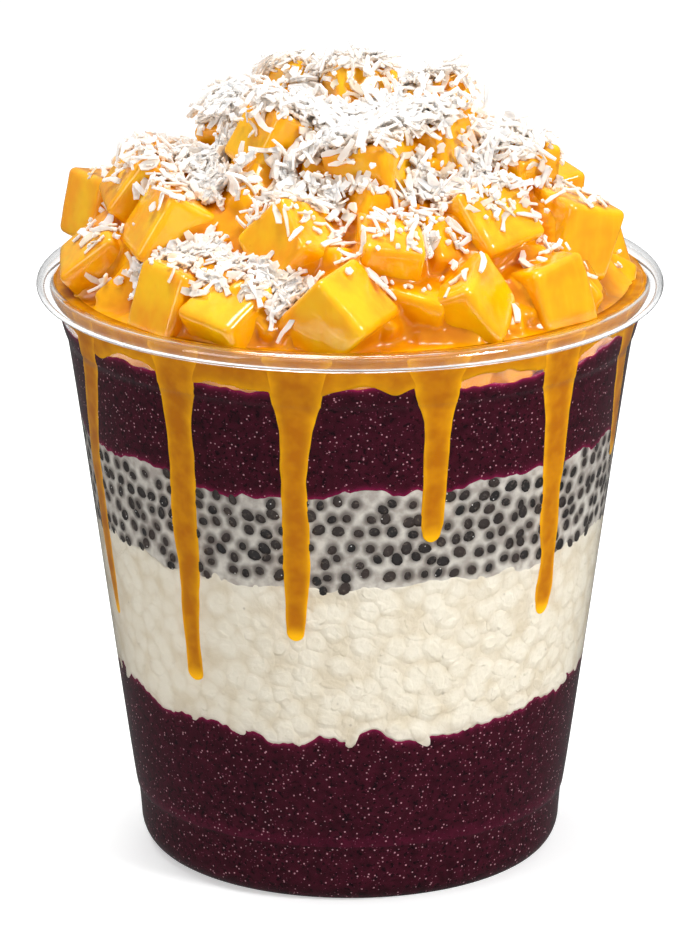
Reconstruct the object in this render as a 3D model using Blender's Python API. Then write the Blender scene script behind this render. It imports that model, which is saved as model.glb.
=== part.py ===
"""Acai cup: a clear tapered cup filled with layers of acai, rice and chia under a heap of mango cubes.

Metres, +Z up. The origin is the middle of the flat base, and the front of the cup faces -Y.
Sizes are written in millimetres and turned into metres by MM.
"""

import math

import bmesh
import bpy
import numpy as np
from mathutils import Euler, Matrix, Vector

MM = 0.001

# ---- clear cup ----------------------------------------------------------------------------------
RIM_RADIUS = 49.0          # outermost edge of the rolled rim
CUP_HEIGHT = 93.3          # table to the top of the rim
SHEET = 0.7                # wall thickness
WALL_LEAN = 7.5            # degrees from upright
REST_RADIUS = 30.0         # flat face the cup stands on
FOOT_RADIUS = 33.1         # middle of the sheet where the heel ends
HEEL_HEIGHT = 4.6
STEP_HEIGHT = 9.6          # small shoulder above the foot
STEP_OUT = 0.55
STEP_RISE = 0.5
RING_HEIGHT = 83.6         # stacking ring under the rim
RING_OUT = 0.7
RING_RISE = 0.8
CURL_RADIUS = 1.25         # middle of the sheet in the rolled rim
CURL_END = -75.0           # degrees round the roll, 0 pointing outwards

# ---- filling ------------------------------------------------------------------------------------
GAP = 0.35                 # clear space between neighbouring pieces
SIDES = 48                 # facets round every turned piece
LAYER_RINGS = (1.0, 0.72, 0.36)
# Each edge: its mean height, then waves as (lobes round the cup, height, turn in degrees from the front)
ACAI_LOWER_EDGE = (30.0, (2, 1.6, 170.0), (5, 0.6, 15.0), (9, 0.5, 60.0))
RICE_EDGE = (54.4, (2, 0.9, 170.0), (6, 0.5, 40.0), (8, 0.35, 200.0))
CHIA_EDGE = (70.0, (2, 1.1, 150.0), (5, 0.3, 80.0), (8, 0.3, 15.0))
ACAI_UPPER_EDGE = (86.0, (2, 0.6, 165.0), (5, 0.3, 30.0), (7, 0.25, 100.0))

# ---- heap ---------------------------------------------------------------------------------------
HEAP_BASE = 93.0           # height where the heap leaves the rim
HEAP_ROUND = 1.3           # how the heap's side curves, 1 for a cone's foot and 2 for a ball's
MOUND_RADIUS = 38.5        # soft fruit and sauce under the cubes
MOUND_RISE = 26.0
MOUND_TOP_SIDE = 91.2      # the mound touches the wall up to here
OUTLINE_RADIUS = 45.5      # no cube reaches past this surface
OUTLINE_RISE = 33.0
OUTLINE_SLACK = 0.26
CUBE_RADIUS = 39.5         # surface that the cubes' middles lie on
CUBE_RISE = 27.5
CUBE_SIDE = 10.3           # mean side of a mango cube
CUBE_SPREAD = 0.6          # how far a side departs from it
CUBE_BEVEL = 1.1
CUBE_CLEAR = 0.35          # gap kept between cubes
CUBE_REACH = 19.5          # middles further apart than this never touch
CUBE_FLOOR = 0.8           # least height of a cube above the upper acai
CUBE_SHRINK = 0.3          # how much smaller the last cubes tried are, to fill the small places
CUBE_TILT = 35.0           # most that a loose cube leans, in degrees
CUBE_SINK = 0.1            # most that a cube sinks below its surface, as a share of the way in
CUBE_COUNT = 50
TRIES = 6000               # places tried for the cubes that aren't placed by hand
TRIES_ROUND = 97           # places on the way up the heap once
CUBE_SEED = 11

# Cubes at the front, placed by hand: middle (x, y, z) in mm, turn about X, Y and Z in degrees, and
# how much longer than a plain cube each of its sides is.
FRONT_CUBES = (
    ((1, -39.5, 95), (10, 45, -25), (0, 0, 2)),
    ((-8.5, -29.5, 102.5), (40, 20, 40), (0, 0, 0)),
    ((19.5, -24, 103), (-40, -5, 45), (1.5, 0, 0)),
    ((30, -27, 95), (-10, -10, 45), (0, 0, 1)),
    ((18.5, -36, 94.5), (20, -25, -25), (0, 1, 0)),
    ((34, -8, 101.5), (5, 15, 35), (0, 0, 1)),
    ((41.5, 1, 95), (10, -15, -40), (-1, 0, 0)),
    ((-27.5, -28, 95), (5, 15, 40), (0, 0, 1)),
    ((-18, -35.5, 93.5), (30, 5, -45), (0, 0, -1)),
    ((-26.5, -17, 103.5), (5, 30, 20), (0, 0, 0.5)),
    ((-38, -9, 95.5), (20, -40, -10), (0.5, 0, 0)),
    ((-11, -10, 116), (10, 25, 30), (0, 0, 0)),
    ((4.5, -21, 111.5), (0, -15, -30), (0, 0, 0.5)),
    ((-33, -6, 104), (10, 35, 15), (0, 0, 0)),
    ((14, -9, 115), (15, -10, -35), (-1, 0, 0)),
    ((25.5, -7, 109), (5, 10, -40), (0, -0.5, 0)),
    ((-38, 7, 101.5), (0, 10, 30), (-0.5, 0, 0)),
    ((8.5, -33, 101), (20, 10, 10), (-1, 0, 0)),
)


# ---- profile of the cup -------------------------------------------------------------------------

def arc(centre, radius, start, end, steps, rise=None):
    """Points along a round or oval arc, angles in degrees."""
    tall = radius if rise is None else rise
    angles = [math.radians(start + (end - start) * i / steps) for i in range(steps + 1)]
    return [(centre[0] + radius * math.cos(a), centre[1] + tall * math.sin(a)) for a in angles]


def sheet_middle():
    """Middle line of the cup's sheet, from the axis along the floor, up the wall and over the rim."""
    lean = math.tan(math.radians(WALL_LEAN))
    half = SHEET / 2
    curl_x = RIM_RADIUS - half - CURL_RADIUS
    curl_z = CUP_HEIGHT - half - CURL_RADIUS
    wall_low = FOOT_RADIUS + lean * (STEP_HEIGHT - HEEL_HEIGHT) * 0.6
    wall_start = wall_low + STEP_OUT
    ring_low = wall_start + lean * (RING_HEIGHT - STEP_HEIGHT - STEP_RISE)
    line = [(0.0, half)]
    line += arc((REST_RADIUS, HEEL_HEIGHT), FOOT_RADIUS - REST_RADIUS, -90, 0, 3, HEEL_HEIGHT - half)
    line += [(wall_low, STEP_HEIGHT), (wall_start, STEP_HEIGHT + STEP_RISE)]
    line += [(ring_low, RING_HEIGHT), (ring_low + RING_OUT, RING_HEIGHT + RING_RISE)]
    line += arc((curl_x, curl_z), CURL_RADIUS, 180, CURL_END, 7)
    return line


def offset_line(line, distance):
    """The same line moved sideways by distance, to its left as it runs on, square at each corner."""
    moved = []
    for i, point in enumerate(line):
        before = Vector(line[max(i - 1, 0)])
        after = Vector(line[min(i + 1, len(line) - 1)])
        here = Vector(point)
        arriving = (here - before).normalized() if i > 0 else (after - here).normalized()
        leaving = (after - here).normalized() if i < len(line) - 1 else arriving
        left = Vector((-(arriving.y + leaving.y), arriving.x + leaving.x)).normalized()
        stretch = 1.0 / max(left.dot(Vector((-arriving.y, arriving.x))), 0.5)
        moved.append(tuple(here + left * distance * stretch))
    return moved


def filling_line():
    """Side of the filling, a gap inside the cup, from the axis along the floor and up to the rim."""
    inner = offset_line(sheet_middle(), SHEET / 2 + GAP)
    heights = [z for _, z in inner]
    return inner[:heights.index(max(heights)) + 1]


def inside_radius(height):
    """Radius of the filling at a height."""
    line = filling_line()[1:]
    return float(np.interp(height, [z for _, z in line], [r for r, _ in line]))


# ---- small helpers ------------------------------------------------------------------------------

def clear_scene():
    """Start from an empty file."""
    for item in list(bpy.data.objects):
        bpy.data.objects.remove(item, do_unlink=True)


def finish(name, colour, roughness, transmission=0.0):
    """A plain Principled material."""
    material = bpy.data.materials.new(name)
    material.use_nodes = True
    shader = material.node_tree.nodes["Principled BSDF"]
    shader.inputs["Base Color"].default_value = (*colour, 1.0)
    shader.inputs["Roughness"].default_value = roughness
    shader.inputs["Metallic"].default_value = 0.0
    shader.inputs["Transmission Weight"].default_value = transmission
    return material


def add_mesh(name, points, faces, material):
    """An object from points in millimetres and its faces."""
    mesh = bpy.data.meshes.new(name)
    mesh.from_pydata([Vector(p) * MM for p in points], [], faces)
    mesh.update()
    mesh.materials.append(material)
    item = bpy.data.objects.new(name, mesh)
    bpy.context.scene.collection.objects.link(item)
    return item


def shade_round(item, crease=35.0):
    """Smooth shading that keeps the real edges sharp."""
    item.data.shade_smooth()
    item.data.set_sharp_from_angle(angle=math.radians(crease))


# ---- cup ----------------------------------------------------------------------------------------

def make_cup(material):
    """The clear cup: an outline of even thickness, turned about the axis."""
    middle = sheet_middle()
    outer = offset_line(middle, -SHEET / 2)
    inner = offset_line(middle, SHEET / 2)
    outline = inner + outer[::-1]
    points = [(r, 0.0, z) for r, z in outline]
    item = add_mesh("cup", points, [], material)
    builder = bmesh.new()
    builder.from_mesh(item.data)
    builder.verts.ensure_lookup_table()
    for first, second in zip(builder.verts[:-1], builder.verts[1:]):
        builder.edges.new((first, second))
    builder.to_mesh(item.data)
    builder.free()
    turn = item.modifiers.new("turn", "SCREW")
    turn.steps = SIDES
    turn.render_steps = SIDES
    turn.use_merge_vertices = True
    turn.merge_threshold = 0.00001
    turn.use_smooth_shade = True
    return item


# ---- filling ------------------------------------------------------------------------------------

def edge_height(edge, angle):
    """Height of a wavy layer edge at an angle round the cup, in degrees from the front."""
    waves = (high * math.cos(math.radians(lobes * angle - turn)) for lobes, high, turn in edge[1:])
    return edge[0] + sum(waves)


def ring_points(edge, rise, share):
    """One ring of a layer's face: the waves fade towards the middle of the cup."""
    ring = []
    for i in range(SIDES):
        angle = 360.0 * i / SIDES
        full = edge_height(edge, angle + 90.0)
        height = edge[0] + rise + (full - edge[0]) * share ** 2
        radius = inside_radius(full + rise) * share
        turn = math.radians(angle)
        ring.append((radius * math.cos(turn), radius * math.sin(turn), height))
    return ring


def flat_ring(radius, height):
    """A level ring of points."""
    turns = [2 * math.pi * i / SIDES for i in range(SIDES)]
    return [(radius * math.cos(a), radius * math.sin(a), height) for a in turns]


def plug(name, rings, bottom, top, material):
    """A closed plug through a list of rings, bottom face first, with one point at each end."""
    points = [bottom]
    faces = []
    for ring in rings:
        points += ring
    points.append(top)
    last = len(points) - 1
    for i in range(SIDES):
        j = (i + 1) % SIDES
        faces.append((0, 1 + j, 1 + i))
        for level in range(len(rings) - 1):
            low = 1 + level * SIDES
            high = low + SIDES
            faces.append((low + i, low + j, high + j, high + i))
        top_ring = 1 + (len(rings) - 1) * SIDES
        faces.append((top_ring + i, top_ring + j, last))
    item = add_mesh(name, points, faces, material)
    shade_round(item)
    return item


def wall_rings(low, high):
    """Level rings at each bend of the cup's wall between two heights."""
    return [flat_ring(radius, height) for radius, height in filling_line()[1:] if low < height < high]


def edge_range(edge):
    """Lowest and highest point of a wavy edge."""
    heights = [edge_height(edge, 360.0 * i / SIDES) for i in range(SIDES)]
    return min(heights), max(heights)


def layer(name, below, above, material):
    """A layer between two wavy edges."""
    rings = [ring_points(below, GAP, share) for share in LAYER_RINGS[::-1]]
    rings += wall_rings(edge_range(below)[1] + GAP, edge_range(above)[0])
    rings += [ring_points(above, 0.0, share) for share in LAYER_RINGS]
    return plug(name, rings, (0, 0, below[0] + GAP), (0, 0, above[0]), material)


def floor_layer(name, above, material):
    """The lowest layer, which follows the cup's floor, heel and step."""
    floor = SHEET + GAP
    rings = wall_rings(floor / 2, edge_range(above)[0])
    rings += [ring_points(above, 0.0, share) for share in LAYER_RINGS]
    return plug(name, rings, (0, 0, floor), (0, 0, above[0]), material)


# ---- heap ---------------------------------------------------------------------------------------

def heap_radius(height, radius, rise):
    """Radius of a heap surface at a height above its base: an oval side with a slacker crown."""
    share = min(max(height / rise, 0.0), 1.0)
    return radius * math.sqrt(max(1.0 - share ** HEAP_ROUND, 0.0))


def make_mound(material):
    """The mound of soft fruit and sauce that the cubes sit in, up from the upper acai."""
    rings = [ring_points(ACAI_UPPER_EDGE, GAP, share) for share in LAYER_RINGS[::-1]]
    rings.append(flat_ring(inside_radius(MOUND_TOP_SIDE), MOUND_TOP_SIDE))
    rings.append(flat_ring(inside_radius(MOUND_TOP_SIDE) - 2.6, MOUND_TOP_SIDE + 1.4))
    for share in (0.1, 0.22, 0.36, 0.52, 0.68, 0.82, 0.93):
        rise = MOUND_RISE * share
        rings.append(flat_ring(heap_radius(rise, MOUND_RADIUS, MOUND_RISE), HEAP_BASE + rise))
    bottom = (0, 0, ACAI_UPPER_EDGE[0] + GAP)
    top = (0, 0, HEAP_BASE + MOUND_RISE)
    return plug("mango_mound", rings, bottom, top, material)


class Cube:
    """One mango cube: its middle, its three half sides and its turn, in millimetres."""

    def __init__(self, middle, half, turn):
        self.middle = np.array(middle, float)
        self.half = np.array(half, float)
        self.axes = np.array(Euler([math.radians(a) for a in turn]).to_matrix())

    def overlap(self, other):
        """Depth and direction of the least move that parts two cubes, or None when they are clear."""
        apart = other.middle - self.middle
        if np.dot(apart, apart) > CUBE_REACH ** 2:
            return None
        crossed = [np.cross(a, b) for a in self.axes.T for b in other.axes.T]
        tests = np.array(list(self.axes.T) + list(other.axes.T) + crossed)
        lengths = np.linalg.norm(tests, axis=1)
        tests = tests[lengths > 1e-3] / lengths[lengths > 1e-3, None]
        reach = np.abs(tests @ self.axes) @ self.half + np.abs(tests @ other.axes) @ other.half
        depth = reach + CUBE_CLEAR - np.abs(tests @ apart)
        least = int(np.argmin(depth))
        if depth[least] <= 0.0:
            return None
        way = tests[least]
        return depth[least], way if way @ apart > 0 else -way


def edge_samples():
    """Points along a cube's edges, as shares of its half sides."""
    steps = (-1.0, -0.5, 0.0, 0.5, 1.0)
    grid = np.array([(x, y, z) for x in steps for y in steps for z in steps])
    return grid[(np.abs(grid) == 1.0).sum(axis=1) >= 2]


def keep_in_cup(cube, shares):
    """Lift a cube off the upper acai and pull it in from the wall and the rolled rim."""
    corners = cube.middle + (shares * cube.half) @ cube.axes.T
    floor = edge_range(ACAI_UPPER_EDGE)[1] + CUBE_FLOOR
    lift = max(floor - corners[:, 2].min(), 0.0)
    cube.middle[2] += lift
    corners[:, 2] += lift
    low = corners[corners[:, 2] < CUP_HEIGHT + GAP]
    if len(low) == 0:
        return
    reach = np.hypot(low[:, 0], low[:, 1]) - inside_radius(MOUND_TOP_SIDE) + CUBE_CLEAR
    worst = int(np.argmax(reach))
    if reach[worst] > 0.0:
        away = low[worst, :2] / np.linalg.norm(low[worst, :2])
        cube.middle[:2] -= away * reach[worst]


def settle(cubes, rounds=60):
    """Push overlapping cubes apart a little at a time, clear of the cup and of the layer below."""
    shares = edge_samples()
    for _ in range(rounds):
        for i, first in enumerate(cubes):
            for second in cubes[i + 1:]:
                found = first.overlap(second)
                if found is not None:
                    push = found[1] * (found[0] * 0.55)
                    first.middle -= push
                    second.middle += push
            keep_in_cup(first, shares)


def within_outline(cube, shares):
    """True when a whole cube lies inside the heap's outline."""
    corners = cube.middle + (shares * cube.half) @ cube.axes.T
    rise = np.clip((corners[:, 2] - HEAP_BASE) / OUTLINE_RISE, 0.0, None)
    reach = np.hypot(corners[:, 0], corners[:, 1]) / OUTLINE_RADIUS
    return bool((reach ** 2 + rise ** HEAP_ROUND).max() <= 1.0 + OUTLINE_SLACK)


def loose_cubes(random):
    """Places to try for the other cubes, on a spiral over the heap from the rim to the crown."""
    golden = math.pi * (3.0 - math.sqrt(5.0))
    for i in range(TRIES):
        rise = CUBE_RISE * 0.98 * (i % TRIES_ROUND) / TRIES_ROUND
        radius = heap_radius(rise, CUBE_RADIUS, CUBE_RISE)
        angle = golden * i
        sink = 1.0 - CUBE_SINK * random.random()
        middle = (radius * sink * math.cos(angle), radius * sink * math.sin(angle), HEAP_BASE + rise * sink)
        side = CUBE_SIDE * (1.0 - CUBE_SHRINK * i / TRIES)
        half = (side + random.uniform(-CUBE_SPREAD, CUBE_SPREAD, 3)) / 2
        yield Cube(middle, half, random.uniform(-CUBE_TILT, CUBE_TILT, 3) + (0, 0, math.degrees(angle)))


def heap_of_cubes():
    """All cubes of the heap: the front ones by hand, then the rest wherever one still fits."""
    random = np.random.default_rng(CUBE_SEED)
    shares = edge_samples()
    cubes = []
    for middle, turn, longer in FRONT_CUBES:
        half = (CUBE_SIDE + np.array(longer)) / 2
        cubes.append(Cube(middle, half, turn))
    settle(cubes)
    for cube in loose_cubes(random):
        if len(cubes) == CUBE_COUNT:
            break
        keep_in_cup(cube, shares)
        if within_outline(cube, shares) and all(cube.overlap(other) is None for other in cubes):
            cubes.append(cube)
    return cubes


def make_cube(name, cube, material):
    """A mango cube with eased edges, placed by its location and rotation."""
    builder = bmesh.new()
    bmesh.ops.create_cube(builder, size=1.0)
    bmesh.ops.scale(builder, verts=builder.verts, vec=Vector(cube.half * 2 * MM))
    mesh = bpy.data.meshes.new(name)
    builder.to_mesh(mesh)
    builder.free()
    mesh.materials.append(material)
    item = bpy.data.objects.new(name, mesh)
    item.location = Vector(cube.middle * MM)
    item.rotation_euler = Matrix(cube.axes.tolist()).to_euler()
    bpy.context.scene.collection.objects.link(item)
    ease = item.modifiers.new("ease", "BEVEL")
    ease.width = CUBE_BEVEL * MM
    ease.segments = 1
    ease.limit_method = "NONE"
    shade_round(item, 30.0)
    return item


def press_cubes_in(mound, cubes):
    """Cut each cube's pocket, a gap larger than the cube, out of the mound."""
    builder = bmesh.new()
    for cube in cubes:
        size = Matrix.Diagonal(Vector((*((cube.half * 2 + CUBE_CLEAR * 2) * MM), 1.0)))
        place = Matrix.Translation(Vector(cube.middle * MM)) @ Matrix(cube.axes.tolist()).to_4x4()
        bmesh.ops.create_cube(builder, size=1.0, matrix=place @ size)
    mesh = bpy.data.meshes.new("pockets")
    builder.to_mesh(mesh)
    builder.free()
    cutter = bpy.data.objects.new("pockets", mesh)
    cutter.hide_render = True
    cutter.display_type = "WIRE"
    bpy.context.scene.collection.objects.link(cutter)
    cut = mound.modifiers.new("pockets", "BOOLEAN")
    cut.operation = "DIFFERENCE"
    cut.solver = "EXACT"
    cut.use_self = True
    cut.object = cutter
    drop_crumbs(mound)


def drop_crumbs(item):
    """Apply an object's modifiers and keep only its largest body, without the chips cut loose from it."""
    depsgraph = bpy.context.evaluated_depsgraph_get()
    mesh = bpy.data.meshes.new_from_object(item.evaluated_get(depsgraph))
    item.modifiers.clear()
    builder = bmesh.new()
    builder.from_mesh(mesh)
    bmesh.ops.remove_doubles(builder, verts=builder.verts, dist=0.000005)
    waiting = set(builder.verts)
    bodies = []
    while waiting:
        body = set()
        edge_of_body = [waiting.pop()]
        while edge_of_body:
            vert = edge_of_body.pop()
            body.add(vert)
            near = {edge.other_vert(vert) for edge in vert.link_edges} & waiting
            waiting -= near
            edge_of_body += near
        bodies.append(body)
    bodies.sort(key=len)
    for crumb in bodies[:-1]:
        bmesh.ops.delete(builder, geom=list(crumb), context="VERTS")
    builder.to_mesh(mesh)
    builder.free()
    item.data = mesh


def main():
    """Build the cup, its layers from the floor up, and the heap on top."""
    clear_scene()
    clear = finish("clear plastic", (0.95, 0.96, 0.97), 0.05, 1.0)
    acai = finish("acai", (0.05, 0.008, 0.014), 0.35)
    rice = finish("cooked rice", (0.78, 0.72, 0.6), 0.5)
    chia = finish("chia pudding", (0.25, 0.22, 0.21), 0.35)
    sauce = finish("mango sauce", (0.75, 0.3, 0.01), 0.2)
    mango = finish("mango flesh", (0.95, 0.52, 0.02), 0.25)

    make_cup(clear)
    floor_layer("acai_lower", ACAI_LOWER_EDGE, acai)
    layer("rice_layer", ACAI_LOWER_EDGE, RICE_EDGE, rice)
    layer("chia_layer", RICE_EDGE, CHIA_EDGE, chia)
    layer("acai_upper", CHIA_EDGE, ACAI_UPPER_EDGE, acai)
    mound = make_mound(sauce)
    cubes = heap_of_cubes()
    press_cubes_in(mound, cubes)
    for number, cube in enumerate(cubes, start=1):
        make_cube(f"mango_cube_{number:02d}", cube, mango)


main()
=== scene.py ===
"""Looks of an acai cup, built round its CAD frame.

A clear tapered cup holds layers of acai, rice and chia pudding under a heap of mango cubes in sauce,
with shredded coconut over the top. Sizes are in millimetres until a mesh is made, +Z is up and the
front of the cup faces -Y. Angles round the cup are in degrees from the front, positive to the right.
"""

from __future__ import annotations

import itertools
import logging
import math
from dataclasses import dataclass, field
from enum import Enum

import bpy
import numpy as np
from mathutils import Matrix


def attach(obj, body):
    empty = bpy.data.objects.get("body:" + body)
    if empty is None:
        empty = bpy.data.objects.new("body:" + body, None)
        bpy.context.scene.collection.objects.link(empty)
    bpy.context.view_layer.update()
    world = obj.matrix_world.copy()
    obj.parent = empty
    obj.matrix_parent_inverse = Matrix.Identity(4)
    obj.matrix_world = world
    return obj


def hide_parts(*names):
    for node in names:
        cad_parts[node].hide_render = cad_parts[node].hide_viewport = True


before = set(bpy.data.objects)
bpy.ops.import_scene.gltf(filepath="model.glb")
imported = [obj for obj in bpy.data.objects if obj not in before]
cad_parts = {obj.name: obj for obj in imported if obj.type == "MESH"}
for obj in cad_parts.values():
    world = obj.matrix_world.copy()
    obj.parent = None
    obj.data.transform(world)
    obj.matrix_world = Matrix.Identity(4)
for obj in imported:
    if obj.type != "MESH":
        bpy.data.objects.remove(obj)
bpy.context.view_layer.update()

LOG = logging.getLogger("acai_cup")
MM = 0.001
PER_METRE = 1000.0
BODY = "root"
Colour = tuple[float, float, float]


class Slot(Enum):
    """The record's material slots."""

    CUP = "clear_cup"
    ACAI = "acai"
    RICE = "rice"
    CHIA = "chia"
    MANGO = "mango"
    SAUCE = "mango_sauce"
    COCONUT = "coconut"


# ---- numbers and noise --------------------------------------------------------------------------

def linear(red: int, green: int, blue: int) -> Colour:
    """Turns a display colour into the linear light a shader works in.

    Args:
        red, green, blue: the colour as shown, 0 to 255 each.

    Returns:
        The same colour as three linear values.
    """
    share = np.array([red, green, blue]) / 255.0
    low = share / 12.92
    high = ((share + 0.055) / 1.055) ** 2.4
    return tuple(float(v) for v in np.where(share <= 0.04045, low, high))


def smooth_step(value: np.ndarray, low: float, high: float) -> np.ndarray:
    """Rises from 0 at low to 1 at high, level at both ends: 3t squared less 2t cubed."""
    t = np.clip((value - low) / (high - low), 0.0, 1.0)
    return t * t * (3.0 - 2.0 * t)


def lattice_value(cell: np.ndarray, seed: int) -> np.ndarray:
    """A fixed value from -1 to 1 for each whole-number lattice point, by mixing its bits."""
    mixed = cell[..., 0] * 374761393 + cell[..., 1] * 668265263 + cell[..., 2] * 1440662683
    mixed = mixed + seed * 974711
    mixed = (mixed ^ (mixed >> 13)) * 1274126177
    mixed = mixed ^ (mixed >> 16)
    return (mixed & 0xFFFF) / 32767.5 - 1.0


def noise(points: np.ndarray, size: float, seed: int) -> np.ndarray:
    """Smooth lumps: lattice values joined by a smooth curve along each axis.

    Args:
        points: places, in millimetres, with x, y, z last.
        size: distance between lattice points.
        seed: which set of lattice values.

    Returns:
        One value from -1 to 1 for each place.
    """
    scaled = np.asarray(points, float) / size
    base = np.floor(scaled).astype(np.int64)
    t = scaled - base
    t = t * t * (3.0 - 2.0 * t)
    total = np.zeros(scaled.shape[:-1])
    for corner in itertools.product((0, 1), repeat=3):
        step = np.array(corner)
        weight = np.prod(np.where(step == 1, t, 1.0 - t), axis=-1)
        total += weight * lattice_value(base + step, seed)
    return total


def turn_matrices(angles: np.ndarray) -> np.ndarray:
    """Rotation matrices from turns about X, Y and Z in radians, one row of three turns each."""
    cos = np.cos(angles)
    sin = np.sin(angles)
    zero = np.zeros(len(angles))
    one = zero + 1.0
    about_x = np.stack([one, zero, zero, zero, cos[:, 0], -sin[:, 0], zero, sin[:, 0], cos[:, 0]], 1)
    about_y = np.stack([cos[:, 1], zero, sin[:, 1], zero, one, zero, -sin[:, 1], zero, cos[:, 1]], 1)
    about_z = np.stack([cos[:, 2], -sin[:, 2], zero, sin[:, 2], cos[:, 2], zero, zero, zero, one], 1)
    shape = (-1, 3, 3)
    return about_z.reshape(shape) @ about_y.reshape(shape) @ about_x.reshape(shape)


def unit(vectors: np.ndarray) -> np.ndarray:
    """The same directions with length 1."""
    return vectors / np.maximum(np.linalg.norm(vectors, axis=-1, keepdims=True), 1e-12)


def on_cup(angle: np.ndarray, radius: np.ndarray, height: np.ndarray) -> np.ndarray:
    """Points at an angle from the front, a radius and a height."""
    turn = np.radians(angle)
    return np.stack(np.broadcast_arrays(radius * np.sin(turn), -radius * np.cos(turn), height), -1)


# ---- meshes -------------------------------------------------------------------------------------

@dataclass
class Surface:
    """Points in millimetres with their faces, and values carried on the points."""

    points: np.ndarray
    quads: np.ndarray
    triangles: np.ndarray = field(default_factory=lambda: np.zeros((0, 3), int))
    values: dict[str, np.ndarray] = field(default_factory=dict)

    @classmethod
    def tube(cls, rings: np.ndarray, start: np.ndarray | None = None,
             end: np.ndarray | None = None) -> "Surface":
        """Skins a stack of closed rings, each a row of points, and closes its ends.

        Args:
            rings: points by ring and place round the ring.
            start: point that closes the first ring, or None for that ring's middle.
            end: point that closes the last ring, or None for that ring's middle.

        Returns:
            The closed surface.
        """
        rows, cols = rings.shape[:2]
        first = rings[0].mean(0) if start is None else np.asarray(start, float)
        last = rings[-1].mean(0) if end is None else np.asarray(end, float)
        points = np.concatenate([rings.reshape(-1, 3), [first, last]])
        here = np.arange(cols)
        beside = (here + 1) % cols
        low = (np.arange(rows - 1) * cols)[:, None]
        quads = np.stack([low + here, low + beside, low + cols + beside, low + cols + here], -1)
        pole = rows * cols
        bottom = np.stack([np.full(cols, pole), beside, here], 1)
        top_row = (rows - 1) * cols
        top = np.stack([np.full(cols, pole + 1), top_row + here, top_row + beside], 1)
        return cls(points, quads.reshape(-1, 4), np.concatenate([bottom, top]))

    @classmethod
    def copies(cls, places: np.ndarray, quads: np.ndarray, triangles: np.ndarray,
               values: dict[str, np.ndarray] | None = None) -> "Surface":
        """Joins many pieces that share their faces.

        Args:
            places: points by piece and point.
            quads, triangles: faces of one piece.
            values: values by name, one for each piece.

        Returns:
            One surface with every piece.
        """
        count, size = places.shape[:2]
        step = (np.arange(count) * size)[:, None, None]
        spread = {name: np.repeat(value, size) for name, value in (values or {}).items()}
        return cls(places.reshape(-1, 3), (quads[None] + step).reshape(-1, 4),
                   (triangles[None] + step).reshape(-1, 3), spread)

    def build(self, name: str, material: bpy.types.Material, slot: Slot,
              replaced: tuple[str, ...] = (), smooth: bool = True) -> bpy.types.Object:
        """Makes the object, in metres, puts it under the body and hides the CAD nodes it stands for.

        Args:
            name: the piece's name.
            material: its finish.
            slot: not used.
            replaced: CAD nodes this piece stands for.
            smooth: whether its faces shade into each other.

        Returns:
            The finished object.
        """
        mesh = bpy.data.meshes.new(name)
        mesh.vertices.add(len(self.points))
        mesh.vertices.foreach_set("co", (self.points * MM).astype(np.float32).ravel())
        corners = np.concatenate([self.quads.ravel(), self.triangles.ravel()]).astype(np.int32)
        totals = np.concatenate([np.full(len(self.quads), 4), np.full(len(self.triangles), 3)])
        starts = np.concatenate([[0], np.cumsum(totals)[:-1]])
        mesh.loops.add(len(corners))
        mesh.loops.foreach_set("vertex_index", corners)
        mesh.polygons.add(len(totals))
        mesh.polygons.foreach_set("loop_start", starts.astype(np.int32))
        mesh.polygons.foreach_set("loop_total", totals.astype(np.int32))
        mesh.update(calc_edges=True)
        mesh.validate()
        if smooth:
            mesh.shade_smooth()
        else:
            mesh.shade_flat()
        for key, value in self.values.items():
            layer = mesh.attributes.new(key, "FLOAT", "POINT")
            layer.data.foreach_set("value", np.asarray(value, np.float32))
        mesh.materials.append(material)
        piece = bpy.data.objects.new(name, mesh)
        bpy.context.scene.collection.objects.link(piece)
        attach(piece, BODY)
        if replaced:
            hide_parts(*replaced)
        LOG.info("%s: %d points, %d triangles", name, len(self.points),
                 2 * len(self.quads) + len(self.triangles))
        return piece


# ---- shader groups and finishes -----------------------------------------------------------------

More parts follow.
